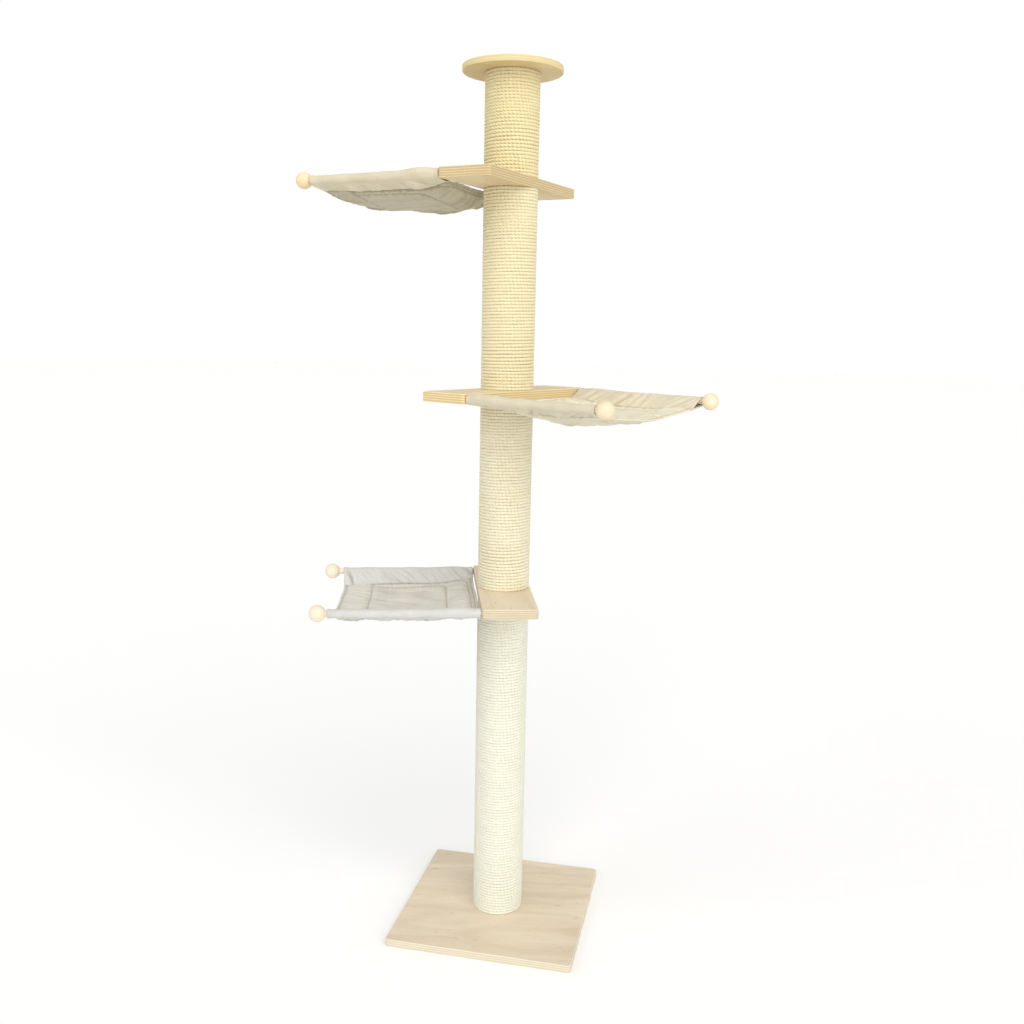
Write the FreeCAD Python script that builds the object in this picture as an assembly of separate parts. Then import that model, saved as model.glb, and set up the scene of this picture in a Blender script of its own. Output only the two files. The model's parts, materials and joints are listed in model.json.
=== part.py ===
"""Floor-to-ceiling cat tree: a square plywood foot, four rope-wound post sections, three
platforms that each carry a fabric hammock on two cantilevered dowels, and a round plate on a
jack screw that braces the post against the ceiling.

Frame: +Z up, origin on the floor at the centre of the foot, foot edges along X and Y.
Units are millimetres.
"""
import os
import FreeCAD, Part
from math import sqrt

Vector = FreeCAD.Vector
Z_AXIS = Vector(0, 0, 1)

# ---------------------------------------------------------------- driving dimensions
# foot
FOOT_SIDE = 500.0
FOOT_THICK = 21.0
FOOT_CORNER_R = 8.0
# post sections, from the floor up
POST_LENGTHS = {"lowest_post": 900.0, "second_post": 500.0, "third_post": 500.0, "top_post": 250.0}
TUBE_OD = 120.0
TUBE_WALL = 8.0
ROPE_DIA = 8.0
PLUG_THICK = 30.0
# platforms
BOARD_LENGTH = 480.0
BOARD_WIDTH = 140.0
BOARD_THICK = 25.0
BOARD_CORNER_R = 8.0
EDGE_ROUND = 2.5
# the way each hammock points, in degrees from +X
HEADINGS = {"lower": 197.0, "middle": -28.4, "upper": 165.2}
# dowels and their end balls
DOWEL_DIA = 16.0
DOWEL_END_DISTANCE = 18.0
DOWEL_EMBED = 50.0
DOWEL_OVERHANG = 407.0
BALL_DIA = 42.0
BALL_BORE_DEPTH = 25.0
# hammock
CLOTH_THICK = 8.0
SLEEVE_WALL = 2.5
HAMMOCK_GAP = 3.0
SIDE_STRIP_RUN = 36.0
SIDE_STRIP_DROP = 28.0
HAMMOCK_SAG = 60.0
# joining hardware
STUD_DIA = 10.0
TEE_NUT_OD = 12.0
TEE_NUT_LENGTH = 12.0
TEE_FLANGE_DIA = 26.0
TEE_FLANGE_THICK = 1.5
STUD_GRIP = 8.0
FOOT_SCREW_DIA = 5.0
FOOT_SCREW_HEAD_DIA = 10.0
FOOT_SCREW_LENGTH = 46.0
FOOT_SCREW_CIRCLE_DIA = 70.0
FOOT_SCREW_COUNT = 4
# ceiling jack
PLATE_DIA = 250.0
PLATE_THICK = 15.0
SPINDLE_DIA = 16.0
SPINDLE_LENGTH = 115.0
JACK_NUT_OD = 24.0
JACK_NUT_FLANGE_DIA = 46.0
JACK_NUT_FLANGE_THICK = 4.0
SPINDLE_FLANGE_DIA = 60.0
SPINDLE_FLANGE_THICK = 3.0
FLANGE_SCREW_DIA = 3.5
FLANGE_SCREW_HEAD_DIA = 7.0
FLANGE_SCREW_LENGTH = 11.0
FLANGE_SCREW_COUNT = 4
CEILING_PAD_DIA = 230.0
CEILING_PAD_THICK = 2.0
# clearances
GLUE_GAP = 0.05
THREAD_GAP = 0.05
TURNING_GAP = 0.08
STUD_HOLE_GAP = 0.5
BALL_BORE_GAP = 0.1
SLEEVE_GAP = 1.2
BALL_GAP = 4.0

# ---------------------------------------------------------------- worked-out sizes
TUBE_ID = TUBE_OD - 2 * TUBE_WALL
POST_OD = TUBE_OD + 2 * ROPE_DIA
DOWEL_SIDE = BOARD_LENGTH / 2 - DOWEL_END_DISTANCE
BOARD_FACE = BOARD_WIDTH / 2
DOWEL_R = DOWEL_DIA / 2
BALL_R = BALL_DIA / 2
BALL_FLAT_R = DOWEL_R + 1.0
BALL_FLAT_AT = sqrt(BALL_R**2 - BALL_FLAT_R**2)
DOWEL_TIP = BOARD_FACE + DOWEL_OVERHANG
DOWEL_TIP_GAP = 1.0
BALL_FLAT_FACE = DOWEL_TIP + DOWEL_TIP_GAP - BALL_BORE_DEPTH
BALL_CENTRE = BALL_FLAT_FACE + BALL_FLAT_AT
SLEEVE_R = DOWEL_R + SLEEVE_GAP
HAMMOCK_START = BOARD_FACE + HAMMOCK_GAP
HAMMOCK_LENGTH = BALL_FLAT_FACE - BALL_GAP - HAMMOCK_START


def stack_levels():
    """Bottom height of each post section, and top height of each board."""
    bottoms, board_tops = {}, {}
    z = FOOT_THICK
    platforms = list(HEADINGS)
    for i, (post, length) in enumerate(POST_LENGTHS.items()):
        bottoms[post] = z
        z += length
        if i < len(platforms):
            z += BOARD_THICK
            board_tops[platforms[i]] = z
    return bottoms, board_tops, z


POST_BOTTOMS, BOARD_TOPS, PLATE_BOTTOM = stack_levels()


# ---------------------------------------------------------------- helpers
def disc(dia, z0, z1, x=0.0, y=0.0):
    """Solid upright cylinder between two heights."""
    return Part.makeCylinder(dia / 2, z1 - z0, Vector(x, y, z0), Z_AXIS)


def ring(outer_dia, inner_dia, z0, z1):
    """Upright tube between two heights."""
    return disc(outer_dia, z0, z1).cut(disc(inner_dia, z0 - 1, z1 + 1))


def is_upright(edge):
    """True for a straight edge along Z."""
    if len(edge.Vertexes) != 2:
        return False
    a, b = edge.Vertexes[0].Point, edge.Vertexes[1].Point
    return abs(a.x - b.x) < 1e-6 and abs(a.y - b.y) < 1e-6


def rounded_panel(size_x, size_y, thick, corner_r, edge_r, top_z):
    """Rectangular panel with round corners and rounded-over top and bottom edges."""
    panel = Part.makeBox(size_x, size_y, thick, Vector(-size_x / 2, -size_y / 2, top_z - thick))
    panel = panel.makeFillet(corner_r, [e for e in panel.Edges if is_upright(e)])
    faces = [f for f in panel.Faces if abs(f.normalAt(0, 0).z) > 0.99]
    return panel.makeFillet(edge_r, [e for f in faces for e in f.Edges])


def countersunk_screw(dia, head_dia, length, x, y, head_z, up):
    """Wood screw with a flush 45-degree head at head_z, running up (+1) or down (-1)."""
    way = Vector(0, 0, up)
    head_height = (head_dia - dia) / 2
    at = Vector(x, y, head_z)
    head = Part.makeCone(head_dia / 2, dia / 2, head_height, at, way)
    tip_height = dia
    shank = Part.makeCylinder(dia / 2, length - head_height - tip_height, at + way * head_height, way)
    tip = Part.makeCone(dia / 2, 0.3, tip_height, at + way * (length - tip_height), way)
    return head.fuse(shank).fuse(tip).removeSplitter()


def around(count, circle_dia):
    """Evenly spaced points on a circle, the first at 45 degrees."""
    for i in range(count):
        turn = FreeCAD.Rotation(Z_AXIS, 45.0 + 360.0 * i / count)
        yield turn.multVec(Vector(circle_dia / 2, 0, 0))


def bore_out(shape, tools):
    """The shape with every tool cut away, one after the other."""
    for tool in tools:
        shape = shape.cut(tool)
    return shape


def face_platform(shape, heading, top_z):
    """Moves a shape modelled outward along +X, board top at z 0, to its platform's place."""
    placed = shape.copy()
    placed.Placement = FreeCAD.Placement(Vector(0, 0, top_z), FreeCAD.Rotation(Z_AXIS, heading))
    return placed


def save(name, shape):
    """Writes one node, after checking that it is sound."""
    if not shape.isValid() or shape.Volume <= 0:
        raise ValueError(f"{name} is not a valid solid")
    shape.exportStep(f"parts/{name}.step")
    print(f"{name}: {len(shape.Solids)} solid(s), {shape.Volume / 1000:.1f} cm3")


# ---------------------------------------------------------------- foot
def foot_screws(gap=0.0):
    """The screws that hold the foot to the lowest post; with a gap, the holes they need."""
    return [
        countersunk_screw(
            FOOT_SCREW_DIA + 2 * gap, FOOT_SCREW_HEAD_DIA + 2 * gap,
            FOOT_SCREW_LENGTH + gap, p.x, p.y, 0.0, 1,
        )
        for p in around(FOOT_SCREW_COUNT, FOOT_SCREW_CIRCLE_DIA)
    ]


def make_foot():
    panel = rounded_panel(FOOT_SIDE, FOOT_SIDE, FOOT_THICK, FOOT_CORNER_R, EDGE_ROUND, FOOT_THICK)
    save("foot_plate", bore_out(panel, foot_screws(GLUE_GAP)))
    save("foot_screws", Part.makeCompound(foot_screws()))


# ---------------------------------------------------------------- post sections
def tee_nut(face_z, into):
    """Tee nut pressed into a plug; its flange lies on face_z and its barrel runs `into` (+1 up)."""
    flange_z = sorted((face_z, face_z - into * TEE_FLANGE_THICK))
    barrel_z = sorted((face_z, face_z + into * TEE_NUT_LENGTH))
    nut = disc(TEE_FLANGE_DIA, *flange_z).fuse(disc(TEE_NUT_OD, *barrel_z)).removeSplitter()
    bore = disc(STUD_DIA + 2 * THREAD_GAP, barrel_z[0] - 5, barrel_z[1] + 5)
    return nut.cut(bore)


def jack_nut():
    """Flanged nut let into the top plug, for the jack spindle."""
    top = PLATE_BOTTOM
    nut = disc(JACK_NUT_FLANGE_DIA, top - JACK_NUT_FLANGE_THICK, top)
    nut = nut.fuse(disc(JACK_NUT_OD, top - PLUG_THICK, top)).removeSplitter()
    return nut.cut(disc(SPINDLE_DIA + 2 * TURNING_GAP, top - PLUG_THICK - 1, top + 1))


def plug(z0, cuts):
    """Round wooden plug that closes one end of a tube."""
    return bore_out(disc(TUBE_ID - 2 * GLUE_GAP, z0, z0 + PLUG_THICK), cuts)


def plug_stud_hole(z0):
    """Hole through a plug for a stud."""
    return disc(STUD_DIA + 2 * STUD_HOLE_GAP, z0 - 1, z0 + PLUG_THICK + 1)


def tee_nut_seat(face_z, into):
    """Counterbore for a tee nut's barrel."""
    z = sorted((face_z - into, face_z + into * (TEE_NUT_LENGTH + GLUE_GAP)))
    return disc(TEE_NUT_OD + 2 * GLUE_GAP, *z)


def make_post(post):
    z0 = POST_BOTTOMS[post]
    z1 = z0 + POST_LENGTHS[post]
    save(f"{post}_tube", ring(TUBE_OD, TUBE_ID, z0, z1))
    save(f"{post}_sisal_winding", ring(POST_OD, TUBE_OD, z0, z1))
    first, last = post == "lowest_post", post == "top_post"
    bottom_face, top_face = z0 + PLUG_THICK, z1 - PLUG_THICK
    if first:
        bottom_cuts = foot_screws(GLUE_GAP)
    else:
        bottom_cuts = [plug_stud_hole(z0), tee_nut_seat(bottom_face, -1)]
        save(f"{post}_bottom_tee_nut", tee_nut(bottom_face, -1))
    if last:
        top_cuts = [
            disc(JACK_NUT_OD + 2 * GLUE_GAP, top_face - 1, z1 + 1),
            disc(JACK_NUT_FLANGE_DIA + 2 * GLUE_GAP, z1 - JACK_NUT_FLANGE_THICK - GLUE_GAP, z1 + 1),
        ]
        save("jack_nut", jack_nut())
    else:
        top_cuts = [plug_stud_hole(top_face), tee_nut_seat(top_face, 1)]
        save(f"{post}_top_tee_nut", tee_nut(top_face, 1))
    save(f"{post}_bottom_plug", plug(z0, bottom_cuts))
    save(f"{post}_top_plug", plug(top_face, top_cuts))


def make_stud(platform):
    """Threaded stud that ties two post sections together through a board."""
    reach = PLUG_THICK + STUD_GRIP
    z1 = BOARD_TOPS[platform]
    z0 = z1 - BOARD_THICK
    stud = disc(STUD_DIA, z0 - reach, z1 + reach)
    ends = [e for e in stud.Edges if len(e.Vertexes) == 1]
    save(f"{platform}_joining_stud", stud.makeChamfer(1.0, ends))


# ---------------------------------------------------------------- platforms, outward along +X
def make_board():
    board = rounded_panel(
        BOARD_WIDTH, BOARD_LENGTH, BOARD_THICK, BOARD_CORNER_R, EDGE_ROUND, 0.0
    )
    cuts = [disc(STUD_DIA + 2 * STUD_HOLE_GAP, -BOARD_THICK - 1, 1)]
    for side in (1, -1):
        start = Vector(BOARD_FACE - DOWEL_EMBED - GLUE_GAP, side * DOWEL_SIDE, -BOARD_THICK / 2)
        cuts.append(Part.makeCylinder(DOWEL_R + GLUE_GAP, DOWEL_EMBED + 10, start, Vector(1, 0, 0)))
    return bore_out(board, cuts)


def make_dowel(side):
    start = Vector(BOARD_FACE - DOWEL_EMBED, side * DOWEL_SIDE, -BOARD_THICK / 2)
    dowel = Part.makeCylinder(DOWEL_R, DOWEL_EMBED + DOWEL_OVERHANG, start, Vector(1, 0, 0))
    ends = [e for e in dowel.Edges if len(e.Vertexes) == 1]
    return dowel.makeChamfer(1.0, ends)


def make_ball(side):
    """Turned ball, flat and bored where the dowel enters."""
    centre = Vector(BALL_CENTRE, side * DOWEL_SIDE, -BOARD_THICK / 2)
    ball = Part.makeSphere(BALL_R, centre)
    trim = Part.makeBox(BALL_DIA, 2 * BALL_DIA, 2 * BALL_DIA, Vector(
        BALL_FLAT_FACE - BALL_DIA, centre.y - BALL_DIA, centre.z - BALL_DIA))
    bore = Part.makeCylinder(
        DOWEL_R + BALL_BORE_GAP, BALL_BORE_DEPTH + 5,
        Vector(BALL_FLAT_FACE - 5, centre.y, centre.z), Vector(1, 0, 0))
    return ball.cut(trim).cut(bore)


# ---------------------------------------------------------------- hammock
def sling_outline(drop):
    """Curve of the hanging cloth from dowel to dowel, as points on straight sides and an arc."""
    z = -BOARD_THICK / 2
    top_y = DOWEL_SIDE
    strip_y = DOWEL_SIDE - SIDE_STRIP_RUN
    return [
        Vector(HAMMOCK_START, -top_y, z - drop),
        Vector(HAMMOCK_START, -strip_y, z - SIDE_STRIP_DROP - drop),
        Vector(HAMMOCK_START, 0, z - HAMMOCK_SAG - drop),
        Vector(HAMMOCK_START, strip_y, z - SIDE_STRIP_DROP - drop),
        Vector(HAMMOCK_START, top_y, z - drop),
    ]


def make_hammock():
    """Sling with a sleeve round each dowel, in one piece."""
    upper = sling_outline(-CLOTH_THICK / 2)
    lower = sling_outline(CLOTH_THICK / 2)
    edges = [
        Part.LineSegment(upper[0], upper[1]).toShape(),
        Part.Arc(upper[1], upper[2], upper[3]).toShape(),
        Part.LineSegment(upper[3], upper[4]).toShape(),
        Part.LineSegment(upper[4], lower[4]).toShape(),
        Part.LineSegment(lower[4], lower[3]).toShape(),
        Part.Arc(lower[3], lower[2], lower[1]).toShape(),
        Part.LineSegment(lower[1], lower[0]).toShape(),
        Part.LineSegment(lower[0], upper[0]).toShape(),
    ]
    along = Vector(HAMMOCK_LENGTH, 0, 0)
    sling = Part.Face(Part.Wire(edges)).extrude(along)
    bores = []
    for side in (1, -1):
        start = Vector(HAMMOCK_START, side * DOWEL_SIDE, -BOARD_THICK / 2)
        sling = sling.fuse(Part.makeCylinder(SLEEVE_R + SLEEVE_WALL, HAMMOCK_LENGTH, start, along))
        bores.append(Part.makeCylinder(SLEEVE_R, HAMMOCK_LENGTH + 2, start - Vector(1, 0, 0), along))
    return bore_out(sling, bores).removeSplitter()


def make_platforms():
    shapes = {
        "board": make_board(),
        "left_dowel": make_dowel(1),
        "right_dowel": make_dowel(-1),
        "left_ball": make_ball(1),
        "right_ball": make_ball(-1),
        "hammock": make_hammock(),
    }
    for platform, heading in HEADINGS.items():
        for name, shape in shapes.items():
            save(f"{platform}_{name}", face_platform(shape, heading, BOARD_TOPS[platform]))
        make_stud(platform)


# ---------------------------------------------------------------- ceiling jack
def flange_screws(gap=0.0):
    """Screws that hold the spindle's flange in the plate; with a gap, the holes they need."""
    circle = (SPINDLE_FLANGE_DIA + SPINDLE_DIA) / 2
    return [
        countersunk_screw(
            FLANGE_SCREW_DIA + 2 * gap, FLANGE_SCREW_HEAD_DIA + 2 * gap,
            FLANGE_SCREW_LENGTH + gap, p.x, p.y, PLATE_BOTTOM + PLATE_THICK, -1,
        )
        for p in around(FLANGE_SCREW_COUNT, circle)
    ]


def make_ceiling_jack():
    plate_top = PLATE_BOTTOM + PLATE_THICK
    flange_bottom = plate_top - SPINDLE_FLANGE_THICK
    spindle_hole = disc(SPINDLE_DIA + 2 * TURNING_GAP, PLATE_BOTTOM - 1, plate_top + 1)
    plate = disc(PLATE_DIA, PLATE_BOTTOM, plate_top)
    plate = plate.makeFillet(EDGE_ROUND, [e for e in plate.Edges if len(e.Vertexes) == 1])
    seat = disc(SPINDLE_FLANGE_DIA + 2 * GLUE_GAP, flange_bottom, plate_top + 1)
    plate = bore_out(plate, [spindle_hole, seat] + flange_screws(GLUE_GAP))
    save("ceiling_plate", plate)
    flange = disc(SPINDLE_FLANGE_DIA, flange_bottom, plate_top)
    save("spindle_flange", bore_out(flange, [spindle_hole] + flange_screws(GLUE_GAP)))
    save("flange_screws", Part.makeCompound(flange_screws()))
    spindle = disc(SPINDLE_DIA, PLATE_BOTTOM - SPINDLE_LENGTH, plate_top)
    lower_end = [e for e in spindle.Edges if len(e.Vertexes) == 1 and e.CenterOfMass.z < PLATE_BOTTOM]
    save("jack_spindle", spindle.makeChamfer(1.5, lower_end))
    save("ceiling_pad", disc(CEILING_PAD_DIA, plate_top, plate_top + CEILING_PAD_THICK))


os.makedirs("parts", exist_ok=True)
make_foot()
for section in POST_LENGTHS:
    make_post(section)
make_platforms()
make_ceiling_jack()
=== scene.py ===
# %% [markdown]
# # A floor-to-ceiling cat tree
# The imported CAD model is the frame: every board, dowel, plug and stud already stands in its place.
# This lesson gives it what CAD leaves out: the twist of the sisal, the hang of the quilted
# hammocks, turned and sawn wood, a cut screw thread, and light to see them by.

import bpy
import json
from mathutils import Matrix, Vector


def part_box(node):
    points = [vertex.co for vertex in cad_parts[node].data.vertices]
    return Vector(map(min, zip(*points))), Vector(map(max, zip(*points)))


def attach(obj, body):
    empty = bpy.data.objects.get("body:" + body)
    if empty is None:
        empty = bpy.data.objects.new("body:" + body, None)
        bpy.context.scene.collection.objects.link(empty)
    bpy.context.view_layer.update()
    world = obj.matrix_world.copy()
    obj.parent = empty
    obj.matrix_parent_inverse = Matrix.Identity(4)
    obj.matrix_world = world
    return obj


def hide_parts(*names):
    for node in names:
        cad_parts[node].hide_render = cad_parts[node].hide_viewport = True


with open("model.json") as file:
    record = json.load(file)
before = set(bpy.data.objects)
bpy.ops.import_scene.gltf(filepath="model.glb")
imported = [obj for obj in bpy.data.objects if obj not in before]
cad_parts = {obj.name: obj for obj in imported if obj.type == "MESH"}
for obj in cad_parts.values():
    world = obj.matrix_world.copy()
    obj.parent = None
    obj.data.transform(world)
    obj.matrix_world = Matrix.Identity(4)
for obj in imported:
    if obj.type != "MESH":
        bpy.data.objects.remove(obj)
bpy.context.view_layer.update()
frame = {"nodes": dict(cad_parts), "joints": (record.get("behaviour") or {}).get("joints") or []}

# %% [markdown]
# Two steps come back with every piece: a finished bmesh becomes a mesh, and its data an object in the
# scene. Both are functions from here on.

# %% Modules and two small helpers
import json
import math
import random

import bmesh
import bpy
import numpy as np
from mathutils import Matrix, Vector

scene = bpy.context.scene


def add_object(name, data):
    """A new object in the scene, at the origin."""
    thing = bpy.data.objects.new(name, data)
    scene.collection.objects.link(thing)
    return thing


def mesh_from(bm, name):
    """The mesh of a finished bmesh, which is then freed."""
    mesh = bpy.data.meshes.new(name)
    bm.to_mesh(mesh)
    bm.free()
    return mesh


# %% [markdown]
# ## Where things are
# Sizes are never typed twice. A node's box gives the heights, and on a platform that points its own
# way the node's vertices are read along that platform's outward and sideways directions. Pieces are
# then built in those plain local coordinates and carried into place by one matrix.

# %% Measure the post and the platforms
POSTS = ("lowest_post", "second_post", "third_post", "top_post")
PLATFORMS = ("lower", "middle", "upper")


def platform_matrix(platform):
    """Local axes of a platform: X outward, Y sideways, Z up, with the dowels' axes at Z 0."""
    slide = next(j for j in frame["joints"] if j["name"] == f"{platform}_hammock_slide")
    outward = Vector(slide["axis"])
    low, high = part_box(f"{platform}_left_dowel")
    place = Matrix.Rotation(math.atan2(outward.y, outward.x), 4, "Z")
    place.translation.z = (low.z + high.z) / 2
    return place


def local_box(node, place):
    """Lowest and highest corner of a CAD node in local coordinates."""
    back = place.inverted()
    points = [back @ vertex.co for vertex in frame["nodes"][node].data.vertices]
    low = Vector([min(p[k] for p in points) for k in range(3)])
    high = Vector([max(p[k] for p in points) for k in range(3)])
    return low, high


PLACES = {platform: platform_matrix(platform) for platform in PLATFORMS}
dowel_low, dowel_high = local_box("lower_left_dowel", PLACES["lower"])
cloth_low, cloth_high = local_box("lower_hammock", PLACES["lower"])
DOWEL_SIDE = (dowel_low.y + dowel_high.y) / 2
DOWEL_RADIUS = (dowel_high.z - dowel_low.z) / 2
CLOTH_START = cloth_low.x
CLOTH_END = cloth_high.x
print(f"dowels {2 * DOWEL_SIDE:.3f} m apart")
print(f"cloth from {CLOTH_START:.3f} to {CLOTH_END:.3f} m out")

# %% [markdown]
# ## Camera
# The view is from standing height, a little right of the foot's front, looking slightly down. It is
# given as on a tripod: where the camera stands, its heading, pitch and roll, and a lens on a 36 mm
# sensor.

# %% Set the camera
CAMERA_PLACE = Vector((0.582, -2.640, 1.635))
CAMERA_HEADING = math.radians(12.025)
CAMERA_PITCH = math.radians(-10.219)
CAMERA_ROLL = math.radians(1.147)
SENSOR_WIDTH = 36.0
LENS = 36.43

camera = add_object("camera", bpy.data.cameras.new("camera"))
camera.data.sensor_width = SENSOR_WIDTH
camera.data.lens = LENS
camera.matrix_world = (
    Matrix.Translation(CAMERA_PLACE)
    @ Matrix.Rotation(CAMERA_HEADING, 4, "Z")
    @ Matrix.Rotation(math.pi / 2 + CAMERA_PITCH, 4, "X")
    @ Matrix.Rotation(CAMERA_ROLL, 4, "Z")
)
scene.camera = camera
print(f"camera {CAMERA_PLACE.length:.2f} m from the foot's centre")

# %% [markdown]
# ## Studio
# A white room lights the tree from everywhere, and two wide suns in front give the soft pair of
# shadows behind the post. Suns light a wide floor evenly, so it stays one plain pale tone from any
# side, which area lamps near the object would not do.

# %% Light the studio
SUNS = {
    "key_sun": {
        "strength": 1.9, "heading": -30, "height": 30, "softness": 70,
        "colour": (1.0, 0.985, 0.95),
    },
    "fill_sun": {
        "strength": 0.45, "heading": 52, "height": 28, "softness": 40,
        "colour": (0.96, 0.98, 1.0),
    },
}
ROOM_LIGHT = 0.68


def add_sun(name, strength, heading, height, softness, colour):
    """A sun that shines from `heading` degrees left of the front and `height` above the floor."""
    light = bpy.data.lights.new(name, "SUN")
    light.energy = strength
    light.angle = math.radians(softness)
    light.color = colour
    sun = add_object(name, light)
    turn = Matrix.Rotation(-math.radians(heading), 4, "Z")
    sun.matrix_world = turn @ Matrix.Rotation(math.radians(90 - height), 4, "X")


for name, settings in SUNS.items():
    add_sun(name, **settings)

room = bpy.data.worlds.new("room")
room.use_nodes = True
scene.world = room
background = room.node_tree.nodes["Background"]
lit = room.node_tree.nodes.new("ShaderNodeLightPath")
level = room.node_tree.nodes.new("ShaderNodeMapRange")
level.inputs["To Min"].default_value = ROOM_LIGHT
level.inputs["To Max"].default_value = 1.0
room.node_tree.links.new(lit.outputs["Is Camera Ray"], level.inputs["Value"])
room.node_tree.links.new(level.outputs["Result"], background.inputs["Strength"])
background.inputs["Color"].default_value = (1.0, 1.0, 1.0, 1.0)
scene.view_settings.view_transform = "Standard"
print("two suns and a white room")

# %% [markdown]
# ## Material helpers
# Node trees are easier to read as a few calls than as pages of links. `place_node` adds a node and
# wires it in one line, `calculate` is a Math node, and `new_group` starts a shared effect with
# named inputs and outputs. Groups only ever put out colours, masks and heights.

# %% Node helpers
def place_node(tree, kind, wires=None, **settings):
    """Adds a shader node, sets its options, and wires or sets the inputs named in `wires`."""
    node = tree.nodes.new("ShaderNode" + kind)
    for name, value in settings.items():
        setattr(node, name, value)
    for name, value in (wires or {}).items():
        if isinstance(value, bpy.types.NodeSocket):
            tree.links.new(value, node.inputs[name])
        else:
            node.inputs[name].default_value = value
    return node


def calculate(tree, operation, *values, clamp=False):
    """A Math node's result."""
    wires = dict(enumerate(values))
    return place_node(tree, "Math", wires, operation=operation, use_clamp=clamp).outputs[0]


def blend_colours(tree, amount, first, second, mode="MIX"):
    """Mixes two colours by an amount from 0 to 1."""
    wires = {0: amount, 6: first, 7: second}
    return place_node(tree, "Mix", wires, data_type="RGBA", blend_type=mode).outputs[2]


def rescale(tree, value, low, high, to_low=0.0, to_high=1.0):
    """Maps a value from one range to another, with the ends held."""
    wires = {"Value": value, "From Min": low, "From Max": high, "To Min": to_low, "To Max": to_high}
    return place_node(tree, "MapRange", wires).outputs[0]


def stretched_noise(tree, vector, scale, detail=2.0, distortion=0.0):
    """Noise with its own scale along X, Y and Z."""
    mapped = place_node(tree, "Mapping", {"Vector": vector, "Scale": scale}).outputs[0]
    wires = {"Vector": mapped, "Scale": 1.0, "Detail": detail, "Distortion": distortion}
    return place_node(tree, "TexNoise", wires).outputs["Fac"]


def new_group(name, inputs, outputs):
    """A shader node group with its inner input and output sockets; each is given as name: kind."""
    tree = bpy.data.node_groups.new(name, "ShaderNodeTree")
    for way, sockets in (("INPUT", inputs), ("OUTPUT", outputs)):
        for socket, kind in sockets.items():
            tree.interface.new_socket(socket, in_out=way, socket_type="NodeSocket" + kind)
    return tree, tree.nodes.new("NodeGroupInput").outputs, tree.nodes.new("NodeGroupOutput").inputs


def use_group(tree, group, **values):
    """Places a group; input names are given with underscores for spaces."""
    wires = {name.replace("_", " "): value for name, value in values.items()}
    return place_node(tree, "Group", wires, node_tree=group).outputs


def new_material(name, **constants):
    """A material with a Principled shader; constants are set straight on the shader's sockets."""
    material = bpy.data.materials.new(name)
    material.use_nodes = True
    shader = material.node_tree.nodes["Principled BSDF"]
    for socket, value in constants.items():
        shader.inputs[socket.replace("_", " ")].default_value = value
    return material, material.node_tree, shader


def finish_material(tree, shader, colour, height, depth, roughness=None):
    """Wires a colour, a bump height in units of `depth` metres, and a roughness to the shader."""
    tree.links.new(colour, shader.inputs["Base Color"])
    bump = place_node(tree, "Bump", {"Height": height, "Distance": depth, "Strength": 1.0})
    tree.links.new(bump.outputs[0], shader.inputs["Normal"])
    if roughness is not None:
        tree.links.new(roughness, shader.inputs["Roughness"])


def srgb(red, green, blue):
    """A display colour from 0 to 255 as the linear colour that nodes expect."""
    return (*[(c / 255) ** 2.2 for c in (red, green, blue)], 1.0)


# %% [markdown]
# ## Shared effects
# Birch veneer is peeled from the log, so its figure is wide and faint, with short brown flecks and
# fine pores along the grain. One group draws that figure for every wooden piece. A second one draws
# the sawn edge of plywood, where plies lie along and across in turn with a dark glue line between.

# %% Wood grain group
wood_grain, given, result = new_group(
    "wood grain",
    {"Along": "Vector", "Pale": "Color", "Warm": "Color", "Fleck": "Color", "Fleck Amount": "Float"},
    {"Colour": "Color", "Height": "Float"},
)
figure = stretched_noise(wood_grain, given["Along"], (2.6, 13.0, 13.0), 4.0, 1.4)
figure = rescale(wood_grain, figure, 0.34, 0.70)
streaks = stretched_noise(wood_grain, given["Along"], (14.0, 210.0, 210.0), 3.0, 0.3)
pores = stretched_noise(wood_grain, given["Along"], (90.0, 1300.0, 1300.0), 1.0)
flecks = stretched_noise(wood_grain, given["Along"], (38.0, 190.0, 190.0), 1.0, 0.5)
flecks = rescale(wood_grain, flecks, 0.69, 0.82)
flecks = calculate(wood_grain, "MULTIPLY", flecks, given["Fleck Amount"])
figured = blend_colours(wood_grain, figure, given["Pale"], given["Warm"])
streak_amount = rescale(wood_grain, streaks, 0.35, 0.75, 0.0, 0.12)
figured = blend_colours(wood_grain, streak_amount, figured, given["Warm"], "MULTIPLY")
pore_amount = rescale(wood_grain, pores, 0.55, 0.80, 0.0, 0.16)
figured = blend_colours(wood_grain, pore_amount, figured, given["Fleck"])
wood_grain.links.new(blend_colours(wood_grain, flecks, figured, given["Fleck"]), result["Colour"])
grain_height = calculate(wood_grain, "MULTIPLY", pores, streaks)
wood_grain.links.new(grain_height, result["Height"])
print("group:", wood_grain.name)

# %% Plywood edge group
ply_edge, given, result = new_group(
    "plywood edge",
    {"Object": "Vector", "Bottom": "Float", "Thickness": "Float", "Plies": "Float",
     "Long Grain": "Color", "End Grain": "Color", "Glue": "Color"},
    {"Colour": "Color", "Height": "Float"},
)
split = place_node(ply_edge, "SeparateXYZ", {"Vector": given["Object"]})
wander = stretched_noise(ply_edge, given["Object"], (9.0, 9.0, 30.0), 2.0)
wander = rescale(ply_edge, wander, 0.3, 0.7, -0.12, 0.12)
level_up = calculate(ply_edge, "SUBTRACT", split.outputs["Z"], given["Bottom"])
level_up = calculate(ply_edge, "DIVIDE", level_up, given["Thickness"])
ply_number = calculate(ply_edge, "MULTIPLY_ADD", level_up, given["Plies"], wander)
crossed = calculate(ply_edge, "MODULO", calculate(ply_edge, "FLOOR", ply_number), 2.0)
near_glue = calculate(ply_edge, "PINGPONG", ply_number, 0.5)
glue_amount = rescale(ply_edge, near_glue, 0.04, 0.13, 0.75, 0.0)
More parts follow.
